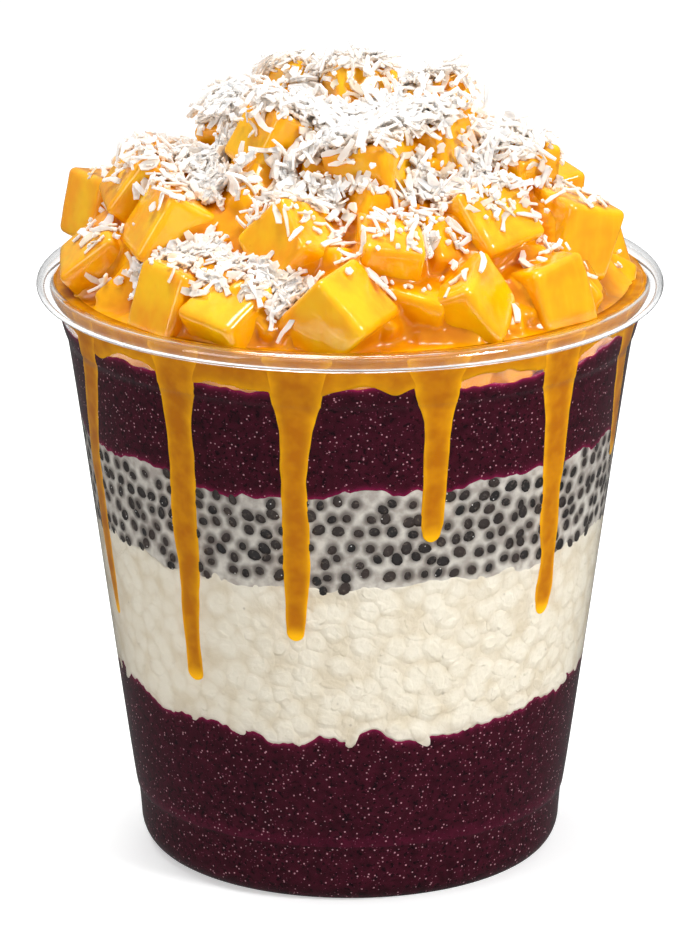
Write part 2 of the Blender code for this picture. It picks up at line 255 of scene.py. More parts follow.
class Sheet:
    """A material's or group's node tree, with short ways to add and join nodes."""

    def __init__(self, tree: bpy.types.NodeTree) -> None:
        """Keeps the tree."""
        self.tree = tree

    def add(self, kind: str, inputs: dict | None = None, **settings) -> bpy.types.Node:
        """Adds a node.

        Args:
            kind: the node's type name after ShaderNode.
            inputs: values or sockets for its inputs, by name or number.
            settings: the node's own properties.

        Returns:
            The node.
        """
        node = self.tree.nodes.new("ShaderNode" + kind)
        for key, value in settings.items():
            setattr(node, key, value)
        for key, value in (inputs or {}).items():
            socket = node.inputs[key]
            if isinstance(value, bpy.types.NodeSocket):
                self.tree.links.new(value, socket)
            else:
                socket.default_value = value
        return node

    def group(self, name: str, inputs: dict) -> bpy.types.Node:
        """Adds a shared group with its own values."""
        node = self.tree.nodes.new("ShaderNodeGroup")
        node.node_tree = bpy.data.node_groups[name]
        for key, value in inputs.items():
            socket = node.inputs[key]
            if isinstance(value, bpy.types.NodeSocket):
                self.tree.links.new(value, socket)
            else:
                socket.default_value = value
        return node

    def place(self) -> bpy.types.NodeSocket:
        """Object coordinates in millimetres."""
        here = self.add("TexCoord").outputs["Object"]
        scaled = self.add("VectorMath", {0: here}, operation="SCALE")
        scaled.inputs["Scale"].default_value = PER_METRE
        return scaled.outputs[0]

    def value(self, name: str) -> bpy.types.NodeSocket:
        """A value carried on the piece's points."""
        return self.add("Attribute", attribute_name=name).outputs["Fac"]

    def math(self, operation: str, first, second=0.0, clamp: bool = False) -> bpy.types.NodeSocket:
        """Arithmetic on two values or sockets."""
        return self.add("Math", {0: first, 1: second}, operation=operation,
                        use_clamp=clamp).outputs[0]

    def mix(self, share, first, second) -> bpy.types.NodeSocket:
        """Mixes two colours, given as sockets or linear colours."""
        node = self.add("Mix", data_type="RGBA")
        for index, item in ((0, share), (6, first), (7, second)):
            if isinstance(item, bpy.types.NodeSocket):
                self.tree.links.new(item, node.inputs[index])
            else:
                node.inputs[index].default_value = item if index == 0 else (*item, 1.0)
        return node.outputs[2]

    def bump(self, height, strength: float, distance: float) -> bpy.types.NodeSocket:
        """A bumped normal. Distance is in millimetres."""
        return self.add("Bump", {"Height": height, "Strength": strength,
                                 "Distance": distance * MM}).outputs["Normal"]


def group_tree(name: str, inputs: dict[str, tuple[str, float]], outputs: tuple[str, ...]) -> Sheet:
    """Starts a shared node group.

    Args:
        name: the group's name.
        inputs: socket kind and default value by socket name.
        outputs: names of its value outputs.

    Returns:
        The group's sheet, with nodes named in and out.
    """
    tree = bpy.data.node_groups.new(name, "ShaderNodeTree")
    for key, (kind, default) in inputs.items():
        socket = tree.interface.new_socket(name=key, in_out="INPUT", socket_type="NodeSocket" + kind)
        if kind == "Float":
            socket.default_value = default
    for key in outputs:
        tree.interface.new_socket(name=key, in_out="OUTPUT", socket_type="NodeSocketFloat")
    tree.nodes.new("NodeGroupInput").name = "in"
    tree.nodes.new("NodeGroupOutput").name = "out"
    return Sheet(tree)


def build_shared_groups() -> None:
    """Makes the groups that several finishes use: mottling and flecks."""
    sheet = group_tree("mottle", {"Place": ("Vector", 0.0), "Size": ("Float", 1.0),
                                  "Low": ("Float", 0.4), "High": ("Float", 0.6),
                                  "Detail": ("Float", 3.0)}, ("Mask",))
    source = sheet.tree.nodes["in"].outputs
    frequency = sheet.math("DIVIDE", 1.0, source["Size"])
    cloud = sheet.add("TexNoise", {"Vector": source["Place"], "Scale": frequency,
                                   "Detail": source["Detail"]})
    ramp = sheet.add("MapRange", {"Value": cloud.outputs["Fac"], "From Min": source["Low"],
                                  "From Max": source["High"]})
    sheet.tree.links.new(ramp.outputs[0], sheet.tree.nodes["out"].inputs["Mask"])

    sheet = group_tree("flecks", {"Place": ("Vector", 0.0), "Spacing": ("Float", 1.0),
                                  "Reach": ("Float", 0.2), "Share": ("Float", 0.5)}, ("Mask",))
    source = sheet.tree.nodes["in"].outputs
    frequency = sheet.math("DIVIDE", 1.0, source["Spacing"])
    cells = sheet.add("TexVoronoi", {"Vector": source["Place"], "Scale": frequency})
    inner = sheet.math("MULTIPLY", source["Reach"], 0.55)
    near = sheet.add("MapRange", {"Value": cells.outputs["Distance"], "From Min": source["Reach"],
                                  "From Max": inner})
    tone = sheet.add("SeparateColor", {0: cells.outputs["Color"]})
    chosen = sheet.math("LESS_THAN", tone.outputs[0], source["Share"])
    mask = sheet.math("MULTIPLY", near.outputs[0], chosen)
    sheet.tree.links.new(mask, sheet.tree.nodes["out"].inputs["Mask"])


@dataclass(frozen=True)
class Finish:
    """What every finish has: a name, roughness, how strongly it is coated and how it shines."""

    name: str
    roughness: float = 0.4
    coat: float = 0.0
    shine: float = 0.5

    def start(self) -> tuple[bpy.types.Material, Sheet, bpy.types.Node]:
        """A new material with its sheet and its Principled shader."""
        material = bpy.data.materials.new(self.name)
        material.use_nodes = True
        shader = material.node_tree.nodes["Principled BSDF"]
        shader.inputs["Roughness"].default_value = self.roughness
        shader.inputs["Coat Weight"].default_value = self.coat
        shader.inputs["Specular IOR Level"].default_value = self.shine
        shader.inputs["Coat Roughness"].default_value = 0.06
        return material, Sheet(material.node_tree), shader


def soften(shader: bpy.types.Node, weight: float, radius: Colour, scale: float) -> None:
    """Lets light into a soft thing. Scale is in millimetres."""
    shader.inputs["Subsurface Weight"].default_value = weight
    shader.inputs["Subsurface Radius"].default_value = radius
    shader.inputs["Subsurface Scale"].default_value = scale * MM


@dataclass(frozen=True)
class PureeFinish(Finish):
    """Frozen acai: dark plum, with painted glints as fine pale specks, painted shade in small pits and
    painted light along its thin edges.
    """

    dark: Colour = linear(42, 5, 16)
    light: Colour = linear(66, 13, 30)
    # Colour of the painted glints.
    painted_glint: Colour = linear(205, 150, 160)
    # Colour of the painted light along the thin edges and on the step by the foot.
    edge: Colour = linear(150, 26, 78)

    def build(self) -> bpy.types.Material:
        """Makes the material."""
        material, sheet, shader = self.start()
        place = sheet.place()
        cloud = sheet.group("mottle", {"Place": place, "Size": 1.5, "Low": 0.3, "High": 0.7,
                                       "Detail": 5.0}).outputs[0]
        base = sheet.mix(cloud, self.dark, self.light)
        # Painted shade: the small pits, which the bump sinks, are also painted darker.
        pits = sheet.group("mottle", {"Place": place, "Size": 0.62, "Low": 0.6, "High": 0.66,
                                      "Detail": 1.0}).outputs[0]
        base = sheet.mix(sheet.math("MULTIPLY", pits, 0.8), base, linear(18, 2, 8))
        # Painted glints: fine pale specks, then smaller lighter flecks.
        fine = sheet.group("flecks", {"Place": place, "Spacing": 0.82, "Reach": 0.2,
                                      "Share": 0.8}).outputs[0]
        base = sheet.mix(sheet.math("MULTIPLY", fine, 0.9), base, self.painted_glint)
        tiny = sheet.group("flecks", {"Place": place, "Spacing": 0.55, "Reach": 0.2,
                                      "Share": 0.6}).outputs[0]
        base = sheet.mix(sheet.math("MULTIPLY", tiny, 0.55), base, linear(150, 74, 98))
        # Painted light: lighter along the thin edges, and a painted highlight on the step by the foot.
        base = sheet.mix(sheet.value("painted_edge_light"), base, self.edge)
        sheet.tree.links.new(base, shader.inputs["Base Color"])
        height = sheet.math("SUBTRACT", sheet.math("MULTIPLY", cloud, 0.6), pits)
        sheet.tree.links.new(sheet.bump(height, 0.7, 0.25), shader.inputs["Normal"])
        return material


@dataclass(frozen=True)
class GelFinish(Finish):
    """Chia gel: grey milk between the seeds, with painted shade close to each seed."""

    pale: Colour = linear(204, 199, 190)
    grey: Colour = linear(164, 156, 148)
    # Colour of the painted shade round each seed.
    seed_shade: Colour = linear(74, 64, 58)

    def build(self) -> bpy.types.Material:
        """Makes the material."""
        material, sheet, shader = self.start()
        place = sheet.place()
        cloud = sheet.group("mottle", {"Place": place, "Size": 1.7, "Low": 0.35, "High": 0.65,
                                       "Detail": 3.0}).outputs[0]
        base = sheet.mix(cloud, self.grey, self.pale)
        # Painted shade round each seed.
        base = sheet.mix(sheet.math("MULTIPLY", sheet.value("seed_shade"), 0.8), base, self.seed_shade)
        sheet.tree.links.new(base, shader.inputs["Base Color"])
        sheet.tree.links.new(sheet.bump(cloud, 0.4, 0.15), shader.inputs["Normal"])
        return material


@dataclass(frozen=True)
class SeedFinish(Finish):
    """Soaked chia seeds: dark brown to black, marbled, each with its own tone."""

    black: Colour = linear(20, 17, 17)
    brown: Colour = linear(50, 40, 36)
    vein: Colour = linear(104, 92, 84)

    def build(self) -> bpy.types.Material:
        """Makes the material."""
        material, sheet, shader = self.start()
        place = sheet.place()
        base = sheet.mix(sheet.value("tone"), self.black, self.brown)
        veins = sheet.group("mottle", {"Place": place, "Size": 0.5, "Low": 0.56, "High": 0.72,
                                       "Detail": 2.0}).outputs[0]
        base = sheet.mix(sheet.math("MULTIPLY", veins, 0.5), base, self.vein)
        glint = sheet.group("flecks", {"Place": place, "Spacing": 0.8, "Reach": 0.16,
                                       "Share": 0.3}).outputs[0]
        base = sheet.mix(glint, base, linear(232, 228, 226))
        sheet.tree.links.new(base, shader.inputs["Base Color"])
        return material


@dataclass(frozen=True)
class RiceFinish(Finish):
    """Cooked rice in cream: warm white, faintly yellow in places, with small grey dots."""

    pale: Colour = linear(221, 213, 197)
    warm: Colour = linear(210, 199, 178)
    shade: Colour = linear(200, 187, 163)
    bright: Colour = linear(230, 225, 212)

    def build(self) -> bpy.types.Material:
        """Makes the material."""
        material, sheet, shader = self.start()
        place = sheet.place()
        cloud = sheet.group("mottle", {"Place": place, "Size": 3.4, "Low": 0.36, "High": 0.66,
                                       "Detail": 3.0}).outputs[0]
        base = sheet.mix(cloud, self.warm, self.pale)
        base = sheet.mix(sheet.math("MULTIPLY", sheet.value("tone"), 0.5), base, self.shade)
        lumps = sheet.group("flecks", {"Place": place, "Spacing": 2.9, "Reach": 0.75,
                                       "Share": 1.0}).outputs[0]
        base = sheet.mix(sheet.math("MULTIPLY", lumps, 0.55), base, self.bright)
        dots = sheet.group("flecks", {"Place": place, "Spacing": 2.3, "Reach": 0.12,
                                      "Share": 0.22}).outputs[0]
        base = sheet.mix(sheet.math("MULTIPLY", dots, 0.5), base, linear(150, 140, 128))
        sheet.tree.links.new(base, shader.inputs["Base Color"])
        fine = sheet.group("mottle", {"Place": place, "Size": 1.1, "Low": 0.3, "High": 0.7,
                                      "Detail": 2.0}).outputs[0]
        height = sheet.math("ADD", sheet.math("MULTIPLY", fine, 0.4), lumps)
        sheet.tree.links.new(sheet.bump(height, 0.5, 0.5), shader.inputs["Normal"])
        return material


@dataclass(frozen=True)
class FruitFinish(Finish):
    """Ripe mango in a film of sauce: golden, with soft streaks along the fibres."""

    ripe: Colour = linear(255, 192, 4)
    deep: Colour = linear(252, 164, 0)
    pale: Colour = linear(255, 208, 30)

    def build(self) -> bpy.types.Material:
        """Makes the material."""
        material, sheet, shader = self.start()
        place = sheet.place()
        cloud = sheet.group("mottle", {"Place": place, "Size": 6.0, "Low": 0.34, "High": 0.66,
                                       "Detail": 2.0}).outputs[0]
        base = sheet.mix(cloud, self.deep, self.ripe)
        stretch = sheet.add("Mapping", {"Vector": place, "Rotation": (0.6, 0.4, 0.9),
                                        "Scale": (1.0, 1.0, 0.16)}).outputs[0]
        fibre = sheet.group("mottle", {"Place": stretch, "Size": 0.9, "Low": 0.5, "High": 0.78,
                                       "Detail": 2.0}).outputs[0]
        base = sheet.mix(sheet.math("MULTIPLY", fibre, 0.25), base, self.pale)
        sheet.tree.links.new(base, shader.inputs["Base Color"])
        film = sheet.group("mottle", {"Place": place, "Size": 2.4, "Low": 0.3, "High": 0.7,
                                      "Detail": 1.0}).outputs[0]
        sheet.tree.links.new(sheet.bump(film, 0.3, 0.25), shader.inputs["Normal"])
        soften(shader, 0.2, (1.0, 0.6, 0.08), 1.6)
        return material


@dataclass(frozen=True)
class SauceFinish(Finish):
    """Thick mango sauce: orange and clear in the middle of a run, bright yellow at its thin edges, and
    painted shade, orange, in the mound's hollows between the cubes.
    """

    core: Colour = linear(214, 124, 0)
    thin_and_unshaded: Colour = linear(252, 178, 2)

    def build(self) -> bpy.types.Material:
        """Makes the material."""
        material, sheet, shader = self.start()
        place = sheet.place()
        cloud = sheet.group("mottle", {"Place": place, "Size": 3.0, "Low": 0.4, "High": 0.7,
                                       "Detail": 2.0}).outputs[0]
        # Share of the yellow: high at the thin edges of runs and curtain, and on the mound outside its
        # painted shade.
        share = sheet.math("ADD", sheet.value("thin_and_unshaded"), sheet.math("MULTIPLY", cloud, 0.25),
                           clamp=True)
        base = sheet.mix(share, self.core, self.thin_and_unshaded)
        sheet.tree.links.new(base, shader.inputs["Base Color"])
        film = sheet.group("mottle", {"Place": place, "Size": 1.9, "Low": 0.3, "High": 0.7,
                                      "Detail": 1.0}).outputs[0]
        sheet.tree.links.new(sheet.bump(film, 0.25, 0.3), shader.inputs["Normal"])
        soften(shader, 0.12, (1.0, 0.6, 0.08), 1.2)
        return material


@dataclass(frozen=True)
class CoconutFinish(Finish):
    """Dry shredded coconut: white, with painted warm shade, for light bounced off the mango, on the shreds
    lying low near the fruit, more on some than on others.
    """

    white: Colour = linear(255, 254, 252)
    warm: Colour = linear(252, 218, 178)

    def build(self) -> bpy.types.Material:
        """Makes the material."""
        material, sheet, shader = self.start()
        place = sheet.place()
        grain = sheet.group("mottle", {"Place": place, "Size": 0.5, "Low": 0.4, "High": 0.75,
                                       "Detail": 2.0}).outputs[0]
        # Painted warm shade: the lower a shred lies near the fruit, the warmer it is painted.
        base = sheet.mix(sheet.math("MULTIPLY", sheet.value("tone"), 0.9), self.white, self.warm)
        base = sheet.mix(sheet.math("MULTIPLY", grain, 0.12), base, self.warm)
        sheet.tree.links.new(base, shader.inputs["Base Color"])
        sheet.tree.links.new(sheet.bump(grain, 0.3, 0.1), shader.inputs["Normal"])
        soften(shader, 0.6, (1.0, 0.93, 0.85), 1.5)
        return material


@dataclass(frozen=True)
class ClearFinish(Finish):
    """Clear moulded plastic, faintly uneven. Lamps shine through it."""

    bend: float = 1.5

    def build(self) -> bpy.types.Material:
        """Makes the material."""
        material, sheet, shader = self.start()
        shader.inputs["Base Color"].default_value = (0.985, 0.99, 0.99, 1.0)
        shader.inputs["Transmission Weight"].default_value = 1.0
        shader.inputs["IOR"].default_value = self.bend
        wave = sheet.group("mottle", {"Place": sheet.place(), "Size": 14.0, "Low": 0.2,
                                      "High": 0.8, "Detail": 0.0}).outputs[0]
        sheet.tree.links.new(sheet.bump(wave, 0.08, 0.5), shader.inputs["Normal"])
        clear = sheet.add("BsdfTransparent", {"Color": (0.97, 0.98, 0.98, 1.0)})
        lamp = sheet.add("LightPath").outputs["Is Shadow Ray"]
        blend = sheet.add("MixShader", {0: lamp, 1: shader.outputs[0], 2: clear.outputs[0]})
        out = material.node_tree.nodes["Material Output"]
        sheet.tree.links.new(blend.outputs[0], out.inputs["Surface"])
        return material


# ---- the cup ------------------------------------------------------------------------------------

def arc(centre: tuple[float, float], radius: tuple[float, float], start: float, end: float,
        count: int) -> np.ndarray:
    """Points along an oval arc: centre plus radius times cosine and sine of the angle."""
    angle = np.radians(np.linspace(start, end, count))
    return np.stack([centre[0] + radius[0] * np.cos(angle), centre[1] + radius[1] * np.sin(angle)], 1)


def ease_corners(line: np.ndarray, rounds: int) -> np.ndarray:
    """Rounds a line's corners: each corner gives way to points a quarter in from both sides."""
    for _ in range(rounds):
        cut = np.stack([0.75 * line[:-1] + 0.25 * line[1:], 0.25 * line[:-1] + 0.75 * line[1:]], 1)
        line = np.concatenate([line[:1], cut.reshape(-1, 2)[1:-1], line[-1:]])
    return line


@dataclass
class Cup:
    """The clear cup, turned about its axis from the middle line of its sheet."""

    rim_radius: float = 49.0
    height: float = 93.3
    wall: float = 0.6
    lean: float = 7.5
    rest_radius: float = 30.0
    foot_radius: float = 33.1
    heel: float = 4.6
    step: float = 9.6
    step_out: float = 0.55
    step_rise: float = 0.5
    ring: float = 83.6
    ring_out: float = 0.7
    ring_rise: float = 0.8
    curl: float = 1.25
    sheet_half: float = 0.35
    sides: int = 224

    def middle(self) -> np.ndarray:
        """Middle line of the sheet, from the axis along the floor, up the wall and over the rim."""
        lean = math.tan(math.radians(self.lean))
        low = self.foot_radius + lean * (self.step - self.heel) * 0.6
        start = low + self.step_out
        ring = start + lean * (self.ring - self.step - self.step_rise)
        curl_x = self.rim_radius - self.sheet_half - self.curl
        curl_z = self.height - self.sheet_half - self.curl
        heel = arc((self.rest_radius, self.heel), (self.foot_radius - self.rest_radius,
                                                   self.heel - self.sheet_half), -90, 0, 10)
        wall = [(low, self.step), (start, self.step + self.step_rise), (ring, self.ring),
                (ring + self.ring_out, self.ring + self.ring_rise)]
        roll = arc((curl_x, curl_z), (self.curl, self.curl), 180, -75, 26)
        straight = [(0.0, self.sheet_half), (self.rest_radius * 0.5, self.sheet_half)]
        body = ease_corners(np.array([heel[-1], *wall, roll[0]]), 3)
        return np.concatenate([straight, heel[:-1], body, roll[1:]])

    def offset(self, distance: float) -> np.ndarray:
        """The middle line moved sideways, inwards where distance is positive."""
        line = self.middle()
        along = np.gradient(line, axis=0)
        along /= np.linalg.norm(along, axis=1, keepdims=True)
        moved = line + distance * np.stack([-along[:, 1], along[:, 0]], 1)
        moved[0, 0] = 0.0
        return moved

    def inside(self, height: np.ndarray, reach: float = 0.0) -> np.ndarray:
        """Radius of the inner face at a height, plus how far a piece reaches into the wall."""
        line = self.offset(self.wall / 2)
        top = int(np.argmax(line[:, 1]))
        return np.interp(height, line[1:top, 1], line[1:top, 0]) + reach

    def build(self, material: bpy.types.Material) -> None:
        """Turns the outline, inner face first, round end at the rolled rim, then outer face."""
        inner = self.offset(self.wall / 2)
        outer = self.offset(-self.wall / 2)
        middle = (inner[-1] + outer[-1]) / 2
        across = (inner[-1] - outer[-1]) / 2
        ahead = np.array([across[1], -across[0]])
        ends = np.linspace(0, math.pi, 7)[1:-1]
        cap = middle + np.cos(ends)[:, None] * across - np.sin(ends)[:, None] * ahead
        outline = np.concatenate([inner[1:], cap, outer[:0:-1]])
        angle = np.arange(self.sides) * 360.0 / self.sides
        rings = on_cup(angle[None], outline[:, :1], outline[:, 1:])[:, ::-1]
        surface = Surface.tube(rings, (0, 0, inner[0, 1]), (0, 0, outer[0, 1]))
        surface.build("clear_cup", material, Slot.CUP, ("cup",))


# ---- layers -------------------------------------------------------------------------------------

@dataclass
class Edge:
    """A wavy, ragged edge between two layers."""

    mean: float
    waves: tuple[tuple[int, float, float], ...]
    ragged: float = 0.0
    grain: float = 3.0
    seed: int = 1

    def at(self, angle: np.ndarray) -> np.ndarray:
        """Height at an angle: the mean, plus each wave's cosine, plus three sizes of ragged lumps."""
        height = np.full(np.shape(angle), self.mean)
        for lobes, rise, turn in self.waves:
            height = height + rise * np.cos(np.radians(lobes * angle - turn))
        ring = on_cup(angle, np.full(np.shape(angle), 40.0), np.zeros(np.shape(angle)))
        rough = noise(ring, self.grain, self.seed)
        rough = rough + 0.55 * noise(ring, self.grain / 2.3, self.seed + 1)
        rough = rough + 0.4 * noise(ring, self.grain / 4.6, self.seed + 2)
        return height + self.ragged * rough


@dataclass
class Layer:
    """One layer of filling between two edges, its side pressed against the cup."""

    name: str
    node: str
    below: Edge | None
    above: Edge
    reach: float = 0.08
    tuck: float = 0.5
    dents: float = 0.0
    dent_size: float = 3.0
    seed: int = 5
    cols: int = 720
    rows: int = 64
    # Painted light: the fade of the lighter edge colour, where it starts below the top, and the painted
    # highlight line and faint band on the step by the foot.
    painted_edge_light: float = 0.0
    painted_edge_light_in: float = 0.0
    ledge_half: float = 0.14
    ledge_share: float = 0.85
    band_share: float = 0.1

    def angles(self) -> np.ndarray:
        """The grid's angles round the cup."""
        return np.arange(self.cols) * 360.0 / self.cols - 180.0

    def side(self, cup: Cup) -> np.ndarray:
        """The pressed side: rows evenly spaced from the lower edge, tucked under, to the upper."""
        angle = self.angles()[None]
        top = self.above.at(angle)
        if self.below is None:
            line = cup.offset(cup.wall / 2)
            low = line[(line[:, 1] < 12.0) & (line[:, 0] > 1.0)]
            low = low[np.concatenate([[True], np.diff(low[:, 1]) > -1e-6])]
            flat = on_cup(angle, low[:, :1] + self.reach, low[:, 1:] - self.reach)
            share = np.linspace(0, 1, self.rows)[1:, None]
            height = 12.0 + (top - 12.0) * share
            rest = self.pressed(cup, angle, height)
            return np.concatenate([flat, rest])
        bottom = self.below.at(angle) - self.tuck
        share = np.linspace(0, 1, self.rows)[:, None]
        return self.pressed(cup, angle, bottom + (top - bottom) * share)

    def pressed(self, cup: Cup, angle: np.ndarray, height: np.ndarray) -> np.ndarray:
        """Points on the side, with shallow dents where the filling doesn't quite meet the wall."""
        ring = on_cup(angle, np.full(np.shape(height), 40.0), height)
        dent = np.clip(noise(ring, self.dent_size, self.seed) - 0.15, 0.0, 1.0)
        return on_cup(angle, cup.inside(height, self.reach) - self.dents * dent, height)

    def surface(self, cup: Cup) -> Surface:
        """Closes the side with a level floor and a top whose waves fade towards the middle."""
        side = self.side(cup)
        low, high = side[0], side[-1]
        floor_z = low[:, 2].mean()
        top_z = high[:, 2].mean()
        shares = np.array([0.97, 0.8, 0.5, 0.2])
        under = np.stack([self.shrink(low, s, floor_z) for s in shares[::-1]])
        over = np.stack([self.shrink(high, s, top_z) for s in shares])
        rings = np.concatenate([under, side, over])
        surface = Surface.tube(rings, (0, 0, floor_z), (0, 0, top_z))
        # Painted light along each thin edge, fading inwards.
        if self.painted_edge_light > 0.0:
            above = self.above.at(self.angles())[None] - self.painted_edge_light_in - rings[..., 2]
            painted_edge_light = np.exp(-np.clip(above, 0.0, None) / self.painted_edge_light)
            if self.below is not None:
                gap = rings[..., 2] - self.below.at(self.angles())[None]
                painted_edge_light = np.maximum(painted_edge_light, np.exp(-np.clip(gap, 0.0, None) / self.painted_edge_light))
            else:
                # The step near the foot catches the light: a thin line, and a faint band over it.
                tall = rings[..., 2]
                ledge = np.exp(-((tall - cup.step - cup.step_rise) / self.ledge_half) ** 2)
                band = smooth_step(tall, 10.2, 10.5) - smooth_step(tall, 11.2, 12.0)
                light = np.maximum(self.ledge_share * ledge, self.band_share * band)
                painted_edge_light = np.maximum(painted_edge_light, light)
            surface.values["painted_edge_light"] = np.append(painted_edge_light.ravel(), [0.0, 0.0]) * 0.85
        return surface

    @staticmethod
    def shrink(ring: np.ndarray, share: float, level: float) -> np.ndarray:
        """A ring drawn in towards the axis, flatter the further in it lies."""
        drawn = ring * np.array([share, share, 1.0])
        drawn[:, 2] = level + (ring[:, 2] - level) * share ** 2
        return drawn

    def build(self, cup: Cup, material: bpy.types.Material, slot: Slot) -> None:
        """Makes the layer in place of its CAD node."""
        self.surface(cup).build(self.name, material, slot, (self.node,))


def ball(rows: int, cols: int) -> tuple[np.ndarray, np.ndarray, np.ndarray]:
    """A unit ball as rings between two poles, with its faces."""
    tall = np.linspace(0, math.pi, rows + 2)[1:-1]
    turn = np.arange(cols) * 2 * math.pi / cols
    rings = np.stack(np.broadcast_arrays(np.sin(tall)[:, None] * np.cos(turn),
                                         np.sin(tall)[:, None] * np.sin(turn),
                                         -np.cos(tall)[:, None]), -1)
    surface = Surface.tube(rings, (0, 0, -1), (0, 0, 1))
    return surface.points, surface.quads, surface.triangles


@dataclass
class PressedBits:
    """Seeds or grains pressed flat against the inside of the cup, between two edges."""

    name: str
    below: Edge
    above: Edge
    spacing: float
    size: tuple[float, float, float]
    spread: float
    jitter: float
    reach: float = 0.16
    sink: float = 0.5
    rows: int = 5
    cols: int = 10
    seed: int = 3
    margin: float = 0.9
    level: float = 3.2

    def places(self, cup: Cup, draw: np.random.Generator) -> tuple[np.ndarray, np.ndarray]:
        """Angles and heights: rows of evenly spaced places, every other row shifted, all jittered."""
        radius = float(cup.inside(np.array((self.below.mean + self.above.mean) / 2)))
        count = int(round(2 * math.pi * radius / self.spacing))
        low = self.below.mean - self.level
        high = self.above.mean + self.level
        levels = np.arange(low, high, self.spacing * 0.866)
        angle = (np.arange(count)[None] + 0.5 * (np.arange(len(levels)) % 2)[:, None]) * 360.0 / count
        height = np.broadcast_to(levels[:, None], angle.shape)
        step = self.spacing * self.jitter
        angle = angle + np.degrees(draw.uniform(-step, step, angle.shape) / radius)
        height = height + draw.uniform(-step, step, angle.shape)
        angle = (angle.ravel() + 180.0) % 360.0 - 180.0
        height = height.ravel()
        keep = (height > self.below.at(angle) + self.margin) & (height < self.above.at(angle) - self.margin)
        return angle[keep], height[keep]

    def surface(self, cup: Cup) -> tuple[Surface, np.ndarray, np.ndarray]:
        """Lays a ball-like bit at each place, turned at random, its outer side cut flat by the wall.

        Returns:
            The joined bits, and the angle and height of each.
        """
        draw = np.random.default_rng(self.seed)
        angle, height = self.places(cup, draw)
        count = len(angle)
        points, quads, triangles = ball(self.rows, self.cols)
        grow = 1.0 + draw.uniform(-self.spread, self.spread, (count, 1))
        half = np.array(self.size) / 2 * grow * (1 + draw.uniform(-0.12, 0.12, (count, 3)))
        turn = draw.uniform(0, math.pi, count)
        shape = points[None] * half[:, None]
        along = shape[..., 0] * np.cos(turn)[:, None] - shape[..., 1] * np.sin(turn)[:, None]
        upward = shape[..., 0] * np.sin(turn)[:, None] + shape[..., 1] * np.cos(turn)[:, None]
        tall = height[:, None] + upward
        wall = cup.inside(tall, self.reach)
        radius = np.minimum(cup.inside(height)[:, None] - self.sink * half[:, 2:] + shape[..., 2], wall)
        around = angle[:, None] + np.degrees(along / radius)
        placed = on_cup(around, radius, tall)
        surface = Surface.copies(placed, quads, triangles, {"tone": draw.uniform(0, 1, count)})
        return surface, angle, height

    def build(self, cup: Cup, material: bpy.types.Material,
              slot: Slot) -> tuple[np.ndarray, np.ndarray]:
        """Makes the piece and returns where its bits are."""
        surface, angle, height = self.surface(cup)
        surface.build(self.name, material, slot)
        return angle, height


def nearness(surface: Surface, angle: np.ndarray, height: np.ndarray,
             size: float) -> np.ndarray:
    """How close each point of a layer's side is to a seed, 1 at the seed and 0 beyond size.

    The side is taken a sector at a time, each against the seeds near that sector.
    """
    turn = np.degrees(np.arctan2(surface.points[:, 0], -surface.points[:, 1]))
    tall = surface.points[:, 2]
    radius = np.hypot(surface.points[:, 0], surface.points[:, 1])
    near = np.zeros(len(turn))
    width = 6.0
    for start in np.arange(-180.0, 180.0, width):
        mine = np.flatnonzero((turn >= start) & (turn < start + width))
        gap = (angle - start - width / 2 + 180.0) % 360.0 - 180.0
        seeds = np.flatnonzero(np.abs(gap) < width)
        if len(mine) == 0 or len(seeds) == 0:
            continue
        side = (turn[mine, None] - angle[None, seeds] + 180.0) % 360.0 - 180.0
        flat = np.radians(side) * radius[mine, None]
        distance = np.hypot(flat, tall[mine, None] - height[None, seeds]).min(1)
        near[mine] = 1.0 - smooth_step(distance, size * 0.45, size)
    return near


# ---- sauce on the wall --------------------------------------------------------------------------

@dataclass(frozen=True)
class Run:
    """One run of sauce: (height, angle, half width) from its top down, then a round end."""

    line: tuple[tuple[float, float, float], ...]


